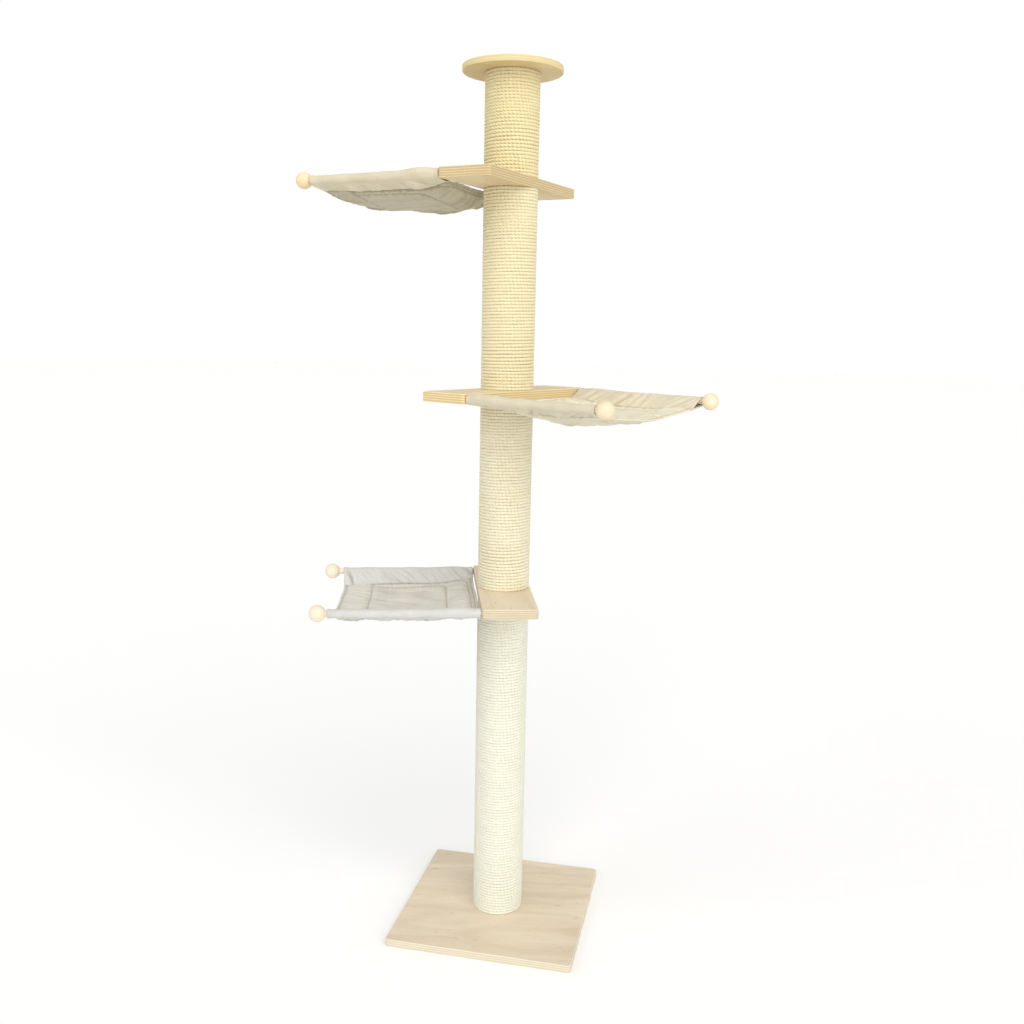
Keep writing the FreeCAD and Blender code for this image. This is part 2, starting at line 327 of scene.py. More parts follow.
end_pores = stretched_noise(ply_edge, given["Object"], (620.0, 620.0, 620.0), 2.0)
long_streaks = stretched_noise(ply_edge, given["Object"], (22.0, 22.0, 900.0), 2.0)
pore_mask = rescale(ply_edge, end_pores, 0.42, 0.66)
end_tone = blend_colours(ply_edge, pore_mask, given["End Grain"], given["Glue"])
end_tone = blend_colours(ply_edge, 0.35, given["End Grain"], end_tone)
long_mask = rescale(ply_edge, long_streaks, 0.4, 0.75, 0.0, 0.5)
long_tone = blend_colours(ply_edge, long_mask, given["Long Grain"], given["End Grain"])
ply_tone = blend_colours(ply_edge, crossed, long_tone, end_tone)
ply_tone = blend_colours(ply_edge, glue_amount, ply_tone, given["Glue"])
ply_edge.links.new(ply_tone, result["Colour"])
pore_depth = calculate(ply_edge, "MULTIPLY", end_pores, 0.5)
ply_depth = calculate(ply_edge, "MULTIPLY_ADD", crossed, -0.5, pore_depth)
ply_edge.links.new(ply_depth, result["Height"])
print("group:", ply_edge.name)

# %% [markdown]
# Plain-woven cotton is a grid of threads that pass over and under each other. The weave group works
# on the cloth's own flat coordinates in metres, so the threads follow every fold. It also adds the
# slubs, the thicker stretches of thread that make raw cotton look alive.

# %% Cotton weave group
weave, given, result = new_group(
    "cotton weave", {"Flat": "Vector", "Thread": "Float"}, {"Height": "Float", "Slub": "Float"}
)
flat = place_node(weave, "SeparateXYZ", {"Vector": given["Flat"]}).outputs
turns = calculate(weave, "DIVIDE", math.pi, given["Thread"])
warp = calculate(weave, "SINE", calculate(weave, "MULTIPLY", flat["X"], turns))
weft = calculate(weave, "SINE", calculate(weave, "MULTIPLY", flat["Y"], turns))
crossing = calculate(weave, "MULTIPLY", warp, weft)
warp_round = calculate(weave, "MULTIPLY", warp, warp)
weft_round = calculate(weave, "MULTIPLY", weft, weft)
over = rescale(weave, crossing, -0.2, 0.2)
under = calculate(weave, "SUBTRACT", 1.0, over)
cloth_height = calculate(
    weave, "ADD", calculate(weave, "MULTIPLY", warp_round, over),
    calculate(weave, "MULTIPLY", weft_round, under),
)
slub_along = stretched_noise(weave, given["Flat"], (30.0, 700.0, 1.0), 2.0)
slub_across = stretched_noise(weave, given["Flat"], (700.0, 30.0, 1.0), 2.0)
slub = calculate(weave, "MAXIMUM", slub_along, slub_across)
weave.links.new(calculate(weave, "MULTIPLY_ADD", slub, 0.8, cloth_height), result["Height"])
weave.links.new(rescale(weave, slub, 0.45, 0.8), result["Slub"])
print("group:", weave.name)

# %% [markdown]
# ## Wood
# Boards, foot and ceiling plate are the same product in two tones. The face figure runs along the
# board, so each board gets a Mapping turned to its own heading. The face and edge looks are mixed
# by how upright the surface is, with a paler band on the rounded arris between them, a painted
# highlight.

# %% Plywood material
def plywood(node, heading, plies, pale, warm, fleck, edge_tones, fleck_amount=0.5):
    """Plywood for one CAD node, with its figure running `heading` degrees from X."""
    material, tree, shader = new_material(node, Roughness=0.52, Specular_IOR_Level=0.35)
    low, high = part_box(node)
    position = place_node(tree, "TexCoord").outputs["Object"]
    spin = (0.0, 0.0, -math.radians(heading))
    shift = (0.37, 0.11, low.z)
    turned = place_node(
        tree, "Mapping", {"Vector": position, "Rotation": spin, "Location": shift}
    ).outputs[0]
    face = use_group(
        tree, wood_grain, Along=turned, Pale=pale, Warm=warm, Fleck=fleck, Fleck_Amount=fleck_amount
    )
    long_grain, end_grain, glue = edge_tones
    edge = use_group(
        tree, ply_edge, Object=position, Bottom=low.z, Thickness=high.z - low.z, Plies=plies,
        Long_Grain=long_grain, End_Grain=end_grain, Glue=glue,
    )
    normal = place_node(tree, "NewGeometry").outputs["Normal"]
    upright = place_node(tree, "SeparateXYZ", {"Vector": normal}).outputs["Z"]
    upright = calculate(tree, "ABSOLUTE", upright)
    is_face = rescale(tree, upright, 0.55, 0.9)
    # Painted highlight: the rounded arris between face and edge gets a paler band.
    off_edge = rescale(tree, upright, 0.2, 0.5)
    off_face = rescale(tree, upright, 0.8, 0.98, 1.0, 0.0)
    painted_arris_highlight = calculate(tree, "MULTIPLY", off_edge, off_face)
    colour = blend_colours(tree, is_face, edge["Colour"], face["Colour"])
    colour = blend_colours(tree, calculate(tree, "MULTIPLY", painted_arris_highlight, 0.55), colour, long_grain)
    height = calculate(
        tree, "ADD", calculate(tree, "MULTIPLY", face["Height"], is_face),
        calculate(tree, "MULTIPLY", edge["Height"], calculate(tree, "SUBTRACT", 1.0, is_face)),
    )
    smudges = stretched_noise(tree, position, (7.0, 7.0, 7.0), 3.0)
    roughness = rescale(tree, smudges, 0.3, 0.7, 0.44, 0.62)
    finish_material(tree, shader, colour, height, 0.00025, roughness)
    return material


PLYWOOD_TONES = {
    "lower_board": {
        "pale": srgb(229, 214, 190), "warm": srgb(217, 200, 172), "fleck": srgb(168, 138, 104),
        "edge_tones": (srgb(220, 211, 185), srgb(200, 186, 155), srgb(158, 141, 110)),
    },
    "middle_board": {
        "pale": srgb(231, 214, 177), "warm": srgb(219, 200, 159), "fleck": srgb(168, 138, 98),
        "edge_tones": (srgb(235, 215, 168), srgb(215, 190, 140), srgb(170, 145, 98)),
    },
    "upper_board": {
        "pale": srgb(219, 200, 157), "warm": srgb(207, 186, 143), "fleck": srgb(162, 131, 88),
        "edge_tones": (srgb(219, 199, 156), srgb(200, 176, 130), srgb(158, 134, 92)),
    },
    "ceiling_plate": {
        "pale": srgb(221, 201, 152), "warm": srgb(210, 187, 136), "fleck": srgb(164, 130, 84),
        "edge_tones": (srgb(226, 208, 158), srgb(219, 199, 148), srgb(205, 182, 130)),
    },
    "foot_plate": {
        "pale": srgb(231, 217, 193), "warm": srgb(214, 197, 171), "fleck": srgb(172, 142, 112),
        "edge_tones": (srgb(222, 214, 194), srgb(210, 199, 174), srgb(184, 168, 138)),
    },
}


def dress(node, material):
    """Gives a CAD node its material."""
    mesh = frame["nodes"][node].data
    mesh.materials.clear()
    mesh.materials.append(material)


for platform in PLATFORMS:
    outward = math.degrees(PLACES[platform].to_euler().z)
    board = f"{platform}_board"
    dress(board, plywood(board, outward + 90, 9, **PLYWOOD_TONES[board]))
plate_look = plywood("ceiling_plate", 20, 5, **PLYWOOD_TONES["ceiling_plate"])
foot_look = plywood("foot_plate", 8, 7, fleck_amount=0.8, **PLYWOOD_TONES["foot_plate"])
dress("ceiling_plate", plate_look)
dress("foot_plate", foot_look)
print("plywood on", ", ".join(PLYWOOD_TONES))

# %% [markdown]
# Balls and dowels are turned from raw beech. Its mark is a dense scatter of tiny brown dashes along
# the grain. The plugs are pine, warmer and with wider rings, and hardly ever seen.

# %% Solid wood materials
def solid_wood(name, along, pale, warm, fleck, fleck_amount, roughness):
    """Solid timber whose grain runs along `along`, given as a heading in degrees from X."""
    material, tree, shader = new_material(name, Roughness=roughness, Specular_IOR_Level=0.3)
    position = place_node(tree, "TexCoord").outputs["Object"]
    turned = place_node(
        tree, "Mapping", {"Vector": position, "Rotation": (0.0, 0.0, -math.radians(along))}
    ).outputs[0]
    grain = use_group(
        tree, wood_grain, Along=turned, Pale=pale, Warm=warm, Fleck=fleck, Fleck_Amount=fleck_amount
    )
    finish_material(tree, shader, grain["Colour"], grain["Height"], 0.0002)
    return material


BEECH_TONES = {
    "lower": {"pale": srgb(238, 228, 209), "warm": srgb(230, 214, 188), "fleck": srgb(196, 166, 130)},
    "middle": {"pale": srgb(238, 224, 196), "warm": srgb(230, 209, 173), "fleck": srgb(196, 162, 120)},
    "upper": {"pale": srgb(238, 220, 188), "warm": srgb(228, 203, 162), "fleck": srgb(194, 156, 110)},
}
PINE = {"pale": srgb(232, 205, 156), "warm": srgb(212, 172, 112), "fleck": srgb(160, 110, 62)}
for platform in PLATFORMS:
    heading = math.degrees(PLACES[platform].to_euler().z)
    beech = solid_wood(
        f"{platform}_beech", heading, **BEECH_TONES[platform], fleck_amount=0.9, roughness=0.55
    )
    for side in ("left", "right"):
        dress(f"{platform}_{side}_dowel", beech)
        dress(f"{platform}_{side}_ball", beech)
pine = solid_wood("plug_pine", 30, **PINE, fleck_amount=0.4, roughness=0.6)
for post in POSTS:
    dress(f"{post}_top_plug", pine)
    dress(f"{post}_bottom_plug", pine)
print("beech on 6 dowels and 6 balls, pine on", 2 * len(POSTS), "plugs")

# %% [markdown]
# ## Card, steel and felt
# These mostly show when the ceiling plate is wound up or the tree is seen from below. Kraft tube is
# wound in a spiral, so its seam climbs round it. Bright zinc plate has faint grains and a brushed
# streak. Felt is a tangle of fibres with a soft edge to its shine.

# %% Kraft card tube
def kraft_card():
    """Brown card wound in a spiral, with its seam climbing 0.1 m a turn."""
    material, tree, shader = new_material("kraft_card", Roughness=0.85, Specular_IOR_Level=0.2)
    position = place_node(tree, "TexCoord").outputs["Object"]
    xyz = place_node(tree, "SeparateXYZ", {"Vector": position}).outputs
    around = calculate(tree, "ARCTAN2", xyz["Y"], xyz["X"])
    climb = calculate(tree, "MULTIPLY_ADD", around, 0.1 / (2 * math.pi), xyz["Z"])
    seam = calculate(tree, "PINGPONG", climb, 0.05)
    seam = rescale(tree, seam, 0.0, 0.0012, 1.0, 0.0)
    fibres = stretched_noise(tree, position, (240.0, 240.0, 420.0), 3.0)
    tone = blend_colours(tree, fibres, srgb(176, 142, 100), srgb(204, 174, 130))
    tone = blend_colours(tree, seam, tone, srgb(120, 92, 62))
    finish_material(tree, shader, tone, calculate(tree, "SUBTRACT", fibres, seam), 0.0003)
    return material


card = kraft_card()
for post in POSTS:
    dress(f"{post}_tube", card)

# %% Zinc-plated steel
def zinc_steel():
    """Zinc-plated steel."""
    material, tree, shader = new_material("zinc_steel", Metallic=1.0, Roughness=0.35)
    position = place_node(tree, "TexCoord").outputs["Object"]
    grains = place_node(tree, "TexVoronoi", {"Vector": position, "Scale": 420.0})
    tint = place_node(tree, "SeparateColor", {"Color": grains.outputs["Color"]}).outputs[0]
    tone = blend_colours(tree, tint, srgb(186, 190, 194), srgb(214, 216, 214))
    brushed = stretched_noise(tree, position, (2400.0, 2400.0, 120.0), 2.0)
    roughness = rescale(tree, brushed, 0.3, 0.7, 0.26, 0.46)
    finish_material(tree, shader, tone, brushed, 0.00005, roughness)
    return material


steel = zinc_steel()
STEEL_ENDINGS = ("tee_nut", "stud", "screws", "flange", "spindle", "jack_nut")
steel_nodes = [node for node in frame["nodes"] if node.endswith(STEEL_ENDINGS)]
for node in steel_nodes:
    dress(node, steel)
print("steel nodes:", len(steel_nodes))

# %% Wool felt
def wool_felt():
    """Grey-beige felt."""
    material, tree, shader = new_material(
        "wool_felt", Roughness=0.95, Sheen_Weight=0.4, Sheen_Roughness=0.5
    )
    position = place_node(tree, "TexCoord").outputs["Object"]
    fibres = stretched_noise(tree, position, (520.0, 520.0, 520.0), 4.0, 1.5)
    clumps = stretched_noise(tree, position, (60.0, 60.0, 60.0), 2.0)
    tone = blend_colours(tree, fibres, srgb(172, 166, 152), srgb(214, 208, 194))
    tone = blend_colours(tree, rescale(tree, clumps, 0.4, 0.7, 0.0, 0.3), tone, srgb(160, 152, 138))
    finish_material(tree, shader, tone, fibres, 0.0006)
    return material


dress("ceiling_pad", wool_felt())

# %% [markdown]
# ## Sisal rope
# The CAD model wears a plain sleeve where the rope goes. The real thing is one three-strand rope,
# 8 mm thick, wound tight and glued. Three strands make a section with three lobes, and the section
# turns as it travels, which is all that twist is. So the rope is a curve with a lobed bevel and a
# steadily growing tilt, made a mesh. That keeps real strands at every angle, where a bump pattern
# would go flat at the post's outline. Blender holds a tilt to sixty turns, so it is kept within one.

# %% Rope values
ROPE_LAY = 0.028
ROPE_SPREAD = 1.28
STEPS_PER_TURN = 130
STRAND_SHAPE = (1.0, 0.92, 0.70, 0.92)
LEVEL_TURNS = 14
SEAM_HEADING = math.radians(100)


def rope_section(radius):
    """The lobed outline of a three-strand rope, as a closed curve for a bevel."""
    curve = bpy.data.curves.new("rope_section", "CURVE")
    curve.dimensions = "2D"
    spline = curve.splines.new("POLY")
    count = 3 * len(STRAND_SHAPE)
    spline.points.add(count - 1)
    for k, point in enumerate(spline.points):
        reach = radius * STRAND_SHAPE[k % len(STRAND_SHAPE)]
        angle = 2 * math.pi * k / count
        point.co = (reach * math.cos(angle), reach * math.sin(angle), 0.0, 1.0)
    spline.use_cyclic_u = True
    return bpy.data.objects.new("rope_section", curve)


# %% [markdown]
# A plain helix leaves a wedge-shaped gap at each end of the post, half a rope high at the front.
# A careful winder lays the first turn level and steps up sharply at the back, then lets the step
# spread into an even climb. The power of the climb within each turn does the same here.

# %% Rope route
def climb_within_turn(turn, share, turns):
    """How much of one pitch the rope has climbed after `share` of a turn."""
    from_end = min(turn, turns - 1 - turn)
    sharpness = 1.0 + 14.0 * max(0.0, 1.0 - from_end / LEVEL_TURNS) ** 2
    return share ** sharpness


def rope_route(low, high, radius, turns, first, last, wobble):
    """Points and turning angles of the rope from turn `first` to turn `last`."""
    pitch = (high - low) / (turns - 1)
    steps = np.arange(first * STEPS_PER_TURN, last * STEPS_PER_TURN + 1)
    points, angles = [], []
    for step in steps:
        turn, share = divmod(step / STEPS_PER_TURN, 1.0)
        climb = climb_within_turn(turn, share, turns)
        if turn >= turns - 1:
            climb = 0.0
        angle = SEAM_HEADING + 2 * math.pi * step / STEPS_PER_TURN
        ripple = math.sin(3 * angle + turn * 1.7) + math.sin(7 * angle - turn * 2.3)
        height = low + pitch * (turn + climb) + wobble * ripple
        points.append((radius * math.cos(angle), radius * math.sin(angle), height))
        angles.append(angle - SEAM_HEADING)
    return points, angles


# %% Wind one rope
def wind_rope(name, section, radius, rope_diameter, points, angles, seed):
    """A rope along the points, with strands twisted by its lay, as a mesh with UVs in metres."""
    draw = random.Random(seed)
    curve = bpy.data.curves.new(name, "CURVE")
    curve.dimensions = "3D"
    curve.bevel_mode = "OBJECT"
    curve.bevel_object = section
    curve.use_fill_caps = True
    curve.twist_mode = "Z_UP"
    spline = curve.splines.new("POLY")
    spline.points.add(len(points) - 1)
    slack = 0.0
    for point, place, angle in zip(spline.points, points, angles):
        slack += draw.uniform(-0.03, 0.03)
        point.co = (*place, 1.0)
        point.tilt = (2 * math.pi * radius * angle / ROPE_LAY + slack) % (2 * math.pi)
        point.radius = 1.0 + 0.025 * math.sin(angle * 2.7 + slack * 5)
    holder = add_object(name, curve)
    bpy.context.view_layer.update()
    graph = bpy.context.evaluated_depsgraph_get()
    mesh = bpy.data.meshes.new_from_object(holder.evaluated_get(graph))
    bpy.data.objects.remove(holder)
    mesh.name = name
    mesh.polygons.foreach_set("use_smooth", [True] * len(mesh.polygons))
    length = radius * (angles[-1] - angles[0])
    for corner in mesh.uv_layers[0].data:
        corner.uv = (corner.uv.x * length, corner.uv.y * math.pi * rope_diameter)
    return add_object(name, mesh)


# %% [markdown]
# Sisal is a leaf fibre: straight, shiny and uneven in colour. The rope's own UVs run along the
# strands because the mesh was twisted with them, so noise stretched along U gives fibres that lie
# the way they should. Hollows between strands and turns are painted darker, as painted shade.

# %% Sisal material
def sisal(name, light, mid, dark):
    """Sisal fibre for a rope whose UVs are in metres."""
    material, tree, shader = new_material(
        name, Roughness=0.72, Specular_IOR_Level=0.25, Sheen_Weight=0.25, Sheen_Roughness=0.4
    )
    along = place_node(tree, "UVMap").outputs[0]
    position = place_node(tree, "TexCoord").outputs["Object"]
    fibres = stretched_noise(tree, along, (60.0, 1500.0, 1.0), 3.0, 0.4)
    hairs = stretched_noise(tree, along, (160.0, 4200.0, 1.0), 2.0)
    tone = blend_colours(tree, rescale(tree, fibres, 0.32, 0.68), mid, light)
    stray = rescale(tree, hairs, 0.60, 0.78, 0.0, 0.35)
    tone = blend_colours(tree, stray, tone, dark)
    around = place_node(tree, "SeparateXYZ", {"Vector": along}).outputs["Y"]
    half_strand = math.pi * ROPE_DIAMETER / 6
    lobes = calculate(tree, "PINGPONG", around, half_strand)
    # Painted shade: the hollows between the strands are darkened.
    painted_hollow_shade = rescale(tree, lobes, 0.55 * half_strand, half_strand, 0.0, 0.10)
    tone = blend_colours(tree, painted_hollow_shade, tone, dark, "MULTIPLY")
    batches = stretched_noise(tree, position, (9.0, 9.0, 38.0), 2.0)
    tone = blend_colours(tree, rescale(tree, batches, 0.4, 0.7, 0.0, 0.12), tone, mid, "MULTIPLY")
    height = calculate(tree, "MULTIPLY_ADD", hairs, 0.4, fibres)
    finish_material(tree, shader, tone, height, 0.0006)
    return material


# %% Wind every post section
tube_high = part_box("lowest_post_tube")[1]
sleeve_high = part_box("lowest_post_sisal_winding")[1]
ROPE_DIAMETER = sleeve_high.x - tube_high.x
ROPE_RADIUS = tube_high.x + ROPE_DIAMETER / 2
ROPE_WOBBLE = 0.00012
MOST_TURNS_A_PIECE = 63
SISAL = {
    "top_post": sisal("golden_sisal", srgb(247, 235, 192), srgb(237, 222, 174), srgb(196, 172, 118)),
    "third_post": sisal("sisal", srgb(249, 240, 205), srgb(240, 228, 188), srgb(200, 180, 132)),
    "second_post": sisal("light_sisal", srgb(249, 243, 218), srgb(240, 232, 202), srgb(202, 186, 144)),
    "lowest_post": sisal("pale_sisal", srgb(244, 244, 230), srgb(234, 233, 214), srgb(196, 190, 160)),
}

section = rope_section(ROPE_SPREAD * ROPE_DIAMETER / 2)
for post in POSTS:
    low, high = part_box(f"{post}_sisal_winding")
    start, stop = low.z + ROPE_DIAMETER / 2, high.z - ROPE_DIAMETER / 2
    turns = round((high.z - low.z) / ROPE_DIAMETER)
    lengths = math.ceil(turns / MOST_TURNS_A_PIECE)
    for k in range(lengths):
        first, last = turns * k // lengths, turns * (k + 1) // lengths
        points, angles = rope_route(start, stop, ROPE_RADIUS, turns, first, last, ROPE_WOBBLE)
        name = f"{post}_rope" if lengths == 1 else f"{post}_rope_{k + 1}"
        rope = wind_rope(name, section, ROPE_RADIUS, ROPE_DIAMETER, points, angles, seed=turns + k)
        rope.data.materials.append(SISAL[post])
        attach(rope, "root")
        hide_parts(f"{post}_sisal_winding")
        length = 2 * math.pi * ROPE_RADIUS * (last - first)
        print(f"{name}: {last - first} turns, {length:.1f} m, {len(rope.data.polygons)} faces")

# %% [markdown]
# ## Hammocks: the cut
# A hammock is a quilted cotton panel with a canvas sleeve sewn along each side, and the dowels slide
# into the sleeves. A tailor would draw it flat first, so this does too: `along` runs outward from the
# board and `across` from one sleeve to the other, both in metres. The seams are lines on that flat
# drawing, and everything that follows, padding, puckers and stitches, is measured from them.

# %% Cut sizes
CLOTH_LENGTH = CLOTH_END - CLOTH_START
PANEL_STEPS = 72
LENGTH_STEPS = 75
SLEEVE_DEPTH = 0.052
SLEEVE_SLOPE = math.radians(31)
SLEEVE_THICK = 0.0013
SAG = 0.046

SEAM_SIDE = DOWEL_SIDE - SLEEVE_DEPTH * math.cos(SLEEVE_SLOPE)
SEAM_DROP = SLEEVE_DEPTH * math.sin(SLEEVE_SLOPE)
PANEL_DIP = SAG - SEAM_DROP
HALF_WIDTH = SEAM_SIDE * (1 + 2 / 3 * (PANEL_DIP / SEAM_SIDE) ** 2)
print(f"panel {2 * HALF_WIDTH:.3f} x {CLOTH_LENGTH:.3f} m")
print(f"seams {SEAM_SIDE:.3f} m out and {SEAM_DROP:.3f} m down")

# %% [markdown]
# The quilting has an outer line close to the edge, rounded where it turns along the board, a straight
# line across near the open end, and an inner line that follows the outer one. Each is a short list of
# straight runs with rounded corners.

# %% Seam lines on the flat cut
SEAM_STEP = 0.002
CROSS_SEAM = CLOTH_LENGTH - 0.084
HEM_WIDTH = 0.008


def rounded_line(corners, radius):
    """Evenly spaced points along straight runs, with each corner between them rounded."""
    points = [Vector(corners[0])]
    for before, corner, after in zip(corners, corners[1:], corners[2:]):
        corner = Vector(corner)
        inward = (Vector(before) - corner).normalized()
        onward = (Vector(after) - corner).normalized()
        centre = corner + (inward + onward) * radius
        for k in range(9):
            angle = k / 8 * math.pi / 2
            spoke = onward * math.cos(angle) + inward * math.sin(angle)
            points.append(centre - radius * spoke)
    points.append(Vector(corners[-1]))
    gaps = [(b - a).length for a, b in zip(points, points[1:])]
    total = sum(gaps)
    marks = np.linspace(0, total, round(total / SEAM_STEP) + 1)
    travelled = np.concatenate([[0], np.cumsum(gaps)])
    xy = np.array([tuple(p) for p in points])
    return np.stack([np.interp(marks, travelled, xy[:, k]) for k in range(2)], axis=1)


def u_line(side, back, radius):
    """A seam down one side, along the board and back up the other side, to the cross seam."""
    corners = [(CROSS_SEAM, side), (back, side), (back, -side), (CROSS_SEAM, -side)]
    return rounded_line(corners, radius)


def across_line(along):
    """A straight seam from one sleeve to the other."""
    return rounded_line([(along, HALF_WIDTH), (along, -HALF_WIDTH)], 0.0)


def side_line(across):
    """A straight seam along a sleeve."""
    return rounded_line([(0.0, across), (CLOTH_LENGTH, across)], 0.0)


SEAMS = {
    "outer": u_line(HALF_WIDTH - 0.004, 0.017, 0.034),
    "inner": u_line(HALF_WIDTH - 0.022, 0.079, 0.024),
    "cross": across_line(CROSS_SEAM),
    "board_hem": across_line(HEM_WIDTH),
    "open_hem": across_line(CLOTH_LENGTH - HEM_WIDTH),
    "left_side": side_line(HALF_WIDTH),
    "right_side": side_line(-HALF_WIDTH),
}
print("seams:", {name: round(len(line) * SEAM_STEP, 2) for name, line in SEAMS.items()}, "m")

# %% [markdown]
# ## Hammocks: the hang
# The cloth starts near where it will end: a shallow dip between the seams, and a teardrop loop over
# each dowel. Its two hems are shorter than its middle, so they hang less and make a bowl. Then
# Blender's cloth lets it settle over the dowels, which adds the uneven slack no formula has. Each
# hammock has been pushed about in its own way: `board` and `open` give, for its two hems, how far the
# left and the right seam hang below the dowels and how far the cloth dips between them, and
# `board_reach` how soon the cloth falls away from the board. `drawn` says how far the cloth has crept
# inward at the open end, `slid` how far a sleeve has slipped in, and `puff` how far the loose canvas
# stands off its dowels near the board.

# %% How each hammock hangs
HANG = {
    "lower": {
        "board": (0.014, 0.014, -0.003), "board_reach": 0.060, "open": (0.024, 0.035, 0.005),
        "drawn": 0.004, "slid": {1: 0.001, -1: 0.009}, "puff": 0.0015,
    },
    "middle": {
        "board": (0.014, 0.014, -0.004), "board_reach": 0.090, "open": (0.020, 0.020, 0.010),
        "drawn": 0.002, "slid": {1: 0.0, -1: 0.0}, "puff": 0.0030,
    },
    "upper": {
        "board": (0.014, 0.016, -0.004), "board_reach": 0.036, "open": (0.022, 0.028, 0.011),
        "drawn": 0.006, "slid": {1: 0.001, -1: 0.003}, "puff": 0.0045,
    },
}
OPEN_REACH = 0.085


def hang_of(along, left_share, hang):
    """How far a side seam hangs below its dowel, and how far the cloth dips between the seams."""
    drop, dip = SEAM_DROP, PANEL_DIP
    from_open = (CLOTH_LENGTH - along) / OPEN_REACH
    for hem, gap in (("board", along / hang["board_reach"]), ("open", from_open)):
        left, right, hem_dip = hang[hem]
        near = np.exp(-(gap**2))
        drop = drop + (left * left_share + right * (1 - left_share) - SEAM_DROP) * near
        dip = dip + (hem_dip - PANEL_DIP) * near
    return drop, dip


def pulled_in(along, share, hang, left_share):
    """Places along the dowels: the open end moves in, most where `share` is 1."""
    slip = hang["slid"][1] * left_share + hang["slid"][-1] * (1 - left_share)
    creep = hang["drawn"] * share * (along / CLOTH_LENGTH) ** 4
    return CLOTH_START + along * (1 - slip / CLOTH_LENGTH) - creep


# %% The cloth before it settles
def panel_start(steps_along, hang, wander):
    """Start points of the panel: rows along, columns across."""
    along = np.linspace(0, CLOTH_LENGTH, steps_along + 1)[:, None]
    across = np.linspace(1, -1, PANEL_STEPS + 1)[None, :]
    drop, dip = hang_of(along, (1 + across) / 2, hang)
    bow = 1 - across**2
    slack = sum(
        size * np.sin(2 * math.pi * (along * f + phase)) * np.sin(math.pi * (across + 1) / 2 * n)
        for size, f, phase, n in wander
    )
    x = pulled_in(along, 1.0 + 0.5 * bow, hang, (1 + across) / 2)
    y = SEAM_SIDE * across + 0 * along
    z = -drop - dip * bow + slack
    return np.stack([x, y, z], axis=2)


def sleeve_start(steps_along, side, loose, hang, phase):
    """Start points of one sleeve: from the seam, over its dowel, and back under it to the seam."""
    rows = []
    for along in np.linspace(0, 1, steps_along + 1):
        ripple = 0.0005 * math.sin(21 * along + phase) + 0.0003 * math.sin(37 * along + 2.3 * phase)
        reach = DOWEL_RADIUS + 0.0024 + loose * (1 - along) ** 1.5 + ripple
        hub = np.array([DOWEL_SIDE, -0.3 * (reach - DOWEL_RADIUS)])
        seam = np.array([SEAM_SIDE, -hang_of(CLOTH_LENGTH * along, (1 + side) / 2, hang)[0]])
        away = seam - hub
        distance = np.hypot(*away)
        heading = math.atan2(away[1], away[0])
        half = math.acos(reach / distance)
        turn = np.linspace(heading - half, heading + half - 2 * math.pi, 13)
        arc = hub + reach * np.stack([np.cos(turn), np.sin(turn)], axis=1)
        run = np.linspace(0, 1, 9)[:, None]
        upper = seam + (arc[0] - seam) * run
        lower = arc[-1] + (seam - arc[-1]) * run
        outline = np.concatenate([upper[:-1], arc, lower[1:]])
        share = np.clip((DOWEL_SIDE - outline[:, 0]) / (DOWEL_SIDE - SEAM_SIDE), 0, 1)
        x = pulled_in(np.full(len(outline), CLOTH_LENGTH * along), share, hang, (1 + side) / 2)
        rows.append(np.stack([x, side * outline[:, 0], outline[:, 1]], axis=1))
    return np.array(rows)


# %% [markdown]
# The simulated cloth is one mesh: the panel and both loops share the vertices of their seams. The
# part of each loop that rests on top of its dowel is pinned, and everything else is free. Used
# canvas is stiffer than the simulated cloth, so it goes only `SETTLED` of the way to that result.
# No operator makes three sheets that share two seams, so this one mesh is given as lists.

# %% Sew the pieces into one cloth
def sheet_cells(indices):
    """Quads of a grid of vertex numbers."""
    a, b, c, d = indices[:-1, :-1], indices[1:, :-1], indices[1:, 1:], indices[:-1, 1:]
    return np.stack([a, b, c, d], axis=2).reshape(-1, 4)


def sew(panel, sleeves):
    """One list of points and quads, with the vertex numbers of the panel and of each sleeve."""
    numbers = np.arange(panel.shape[0] * panel.shape[1]).reshape(panel.shape[:2])
    points = [panel.reshape(-1, 3)]
    grids = {}
    count = numbers.size
    for side, sleeve in sleeves.items():
        inner = sleeve[:, 1:-1]
        mine = count + np.arange(inner.shape[0] * inner.shape[1]).reshape(inner.shape[:2])
        edge = numbers[:, :1] if side > 0 else numbers[:, -1:]
        grids[side] = np.concatenate([edge, mine, edge], axis=1)
        points.append(inner.reshape(-1, 3))
        count += mine.size
    return np.concatenate(points), numbers, grids


# %% Let it settle
SETTLING_FRAMES = 32
SETTLED = 0.35
PINNED_ABOVE = 0.6 * DOWEL_RADIUS
FABRIC = {
    "quality": 6, "mass": 0.1, "air_damping": 10,
    "tension_stiffness": 40, "compression_stiffness": 40,
    "shear_stiffness": 15, "bending_stiffness": 0.3,
    "tension_damping": 10, "compression_damping": 10,
    "shear_damping": 10, "bending_damping": 1,
}


def lay_rod(side):
    """A dowel for the cloth to settle on."""
    middle = Vector(((CLOTH_START + CLOTH_END) / 2, side * DOWEL_SIDE, 0))
    bm = bmesh.new()
    bmesh.ops.create_cone(
        bm, cap_ends=True, segments=24, radius1=DOWEL_RADIUS, radius2=DOWEL_RADIUS,
        depth=CLOTH_LENGTH + 0.08,
        matrix=Matrix.Translation(middle) @ Matrix.Rotation(math.pi / 2, 4, "Y"),
    )
    rod = add_object("rod", mesh_from(bm, "rod"))
    rod.modifiers.new("solid", "COLLISION")
    rod.collision.thickness_outer = 0.001
    rod.collision.cloth_friction = 10
    return rod


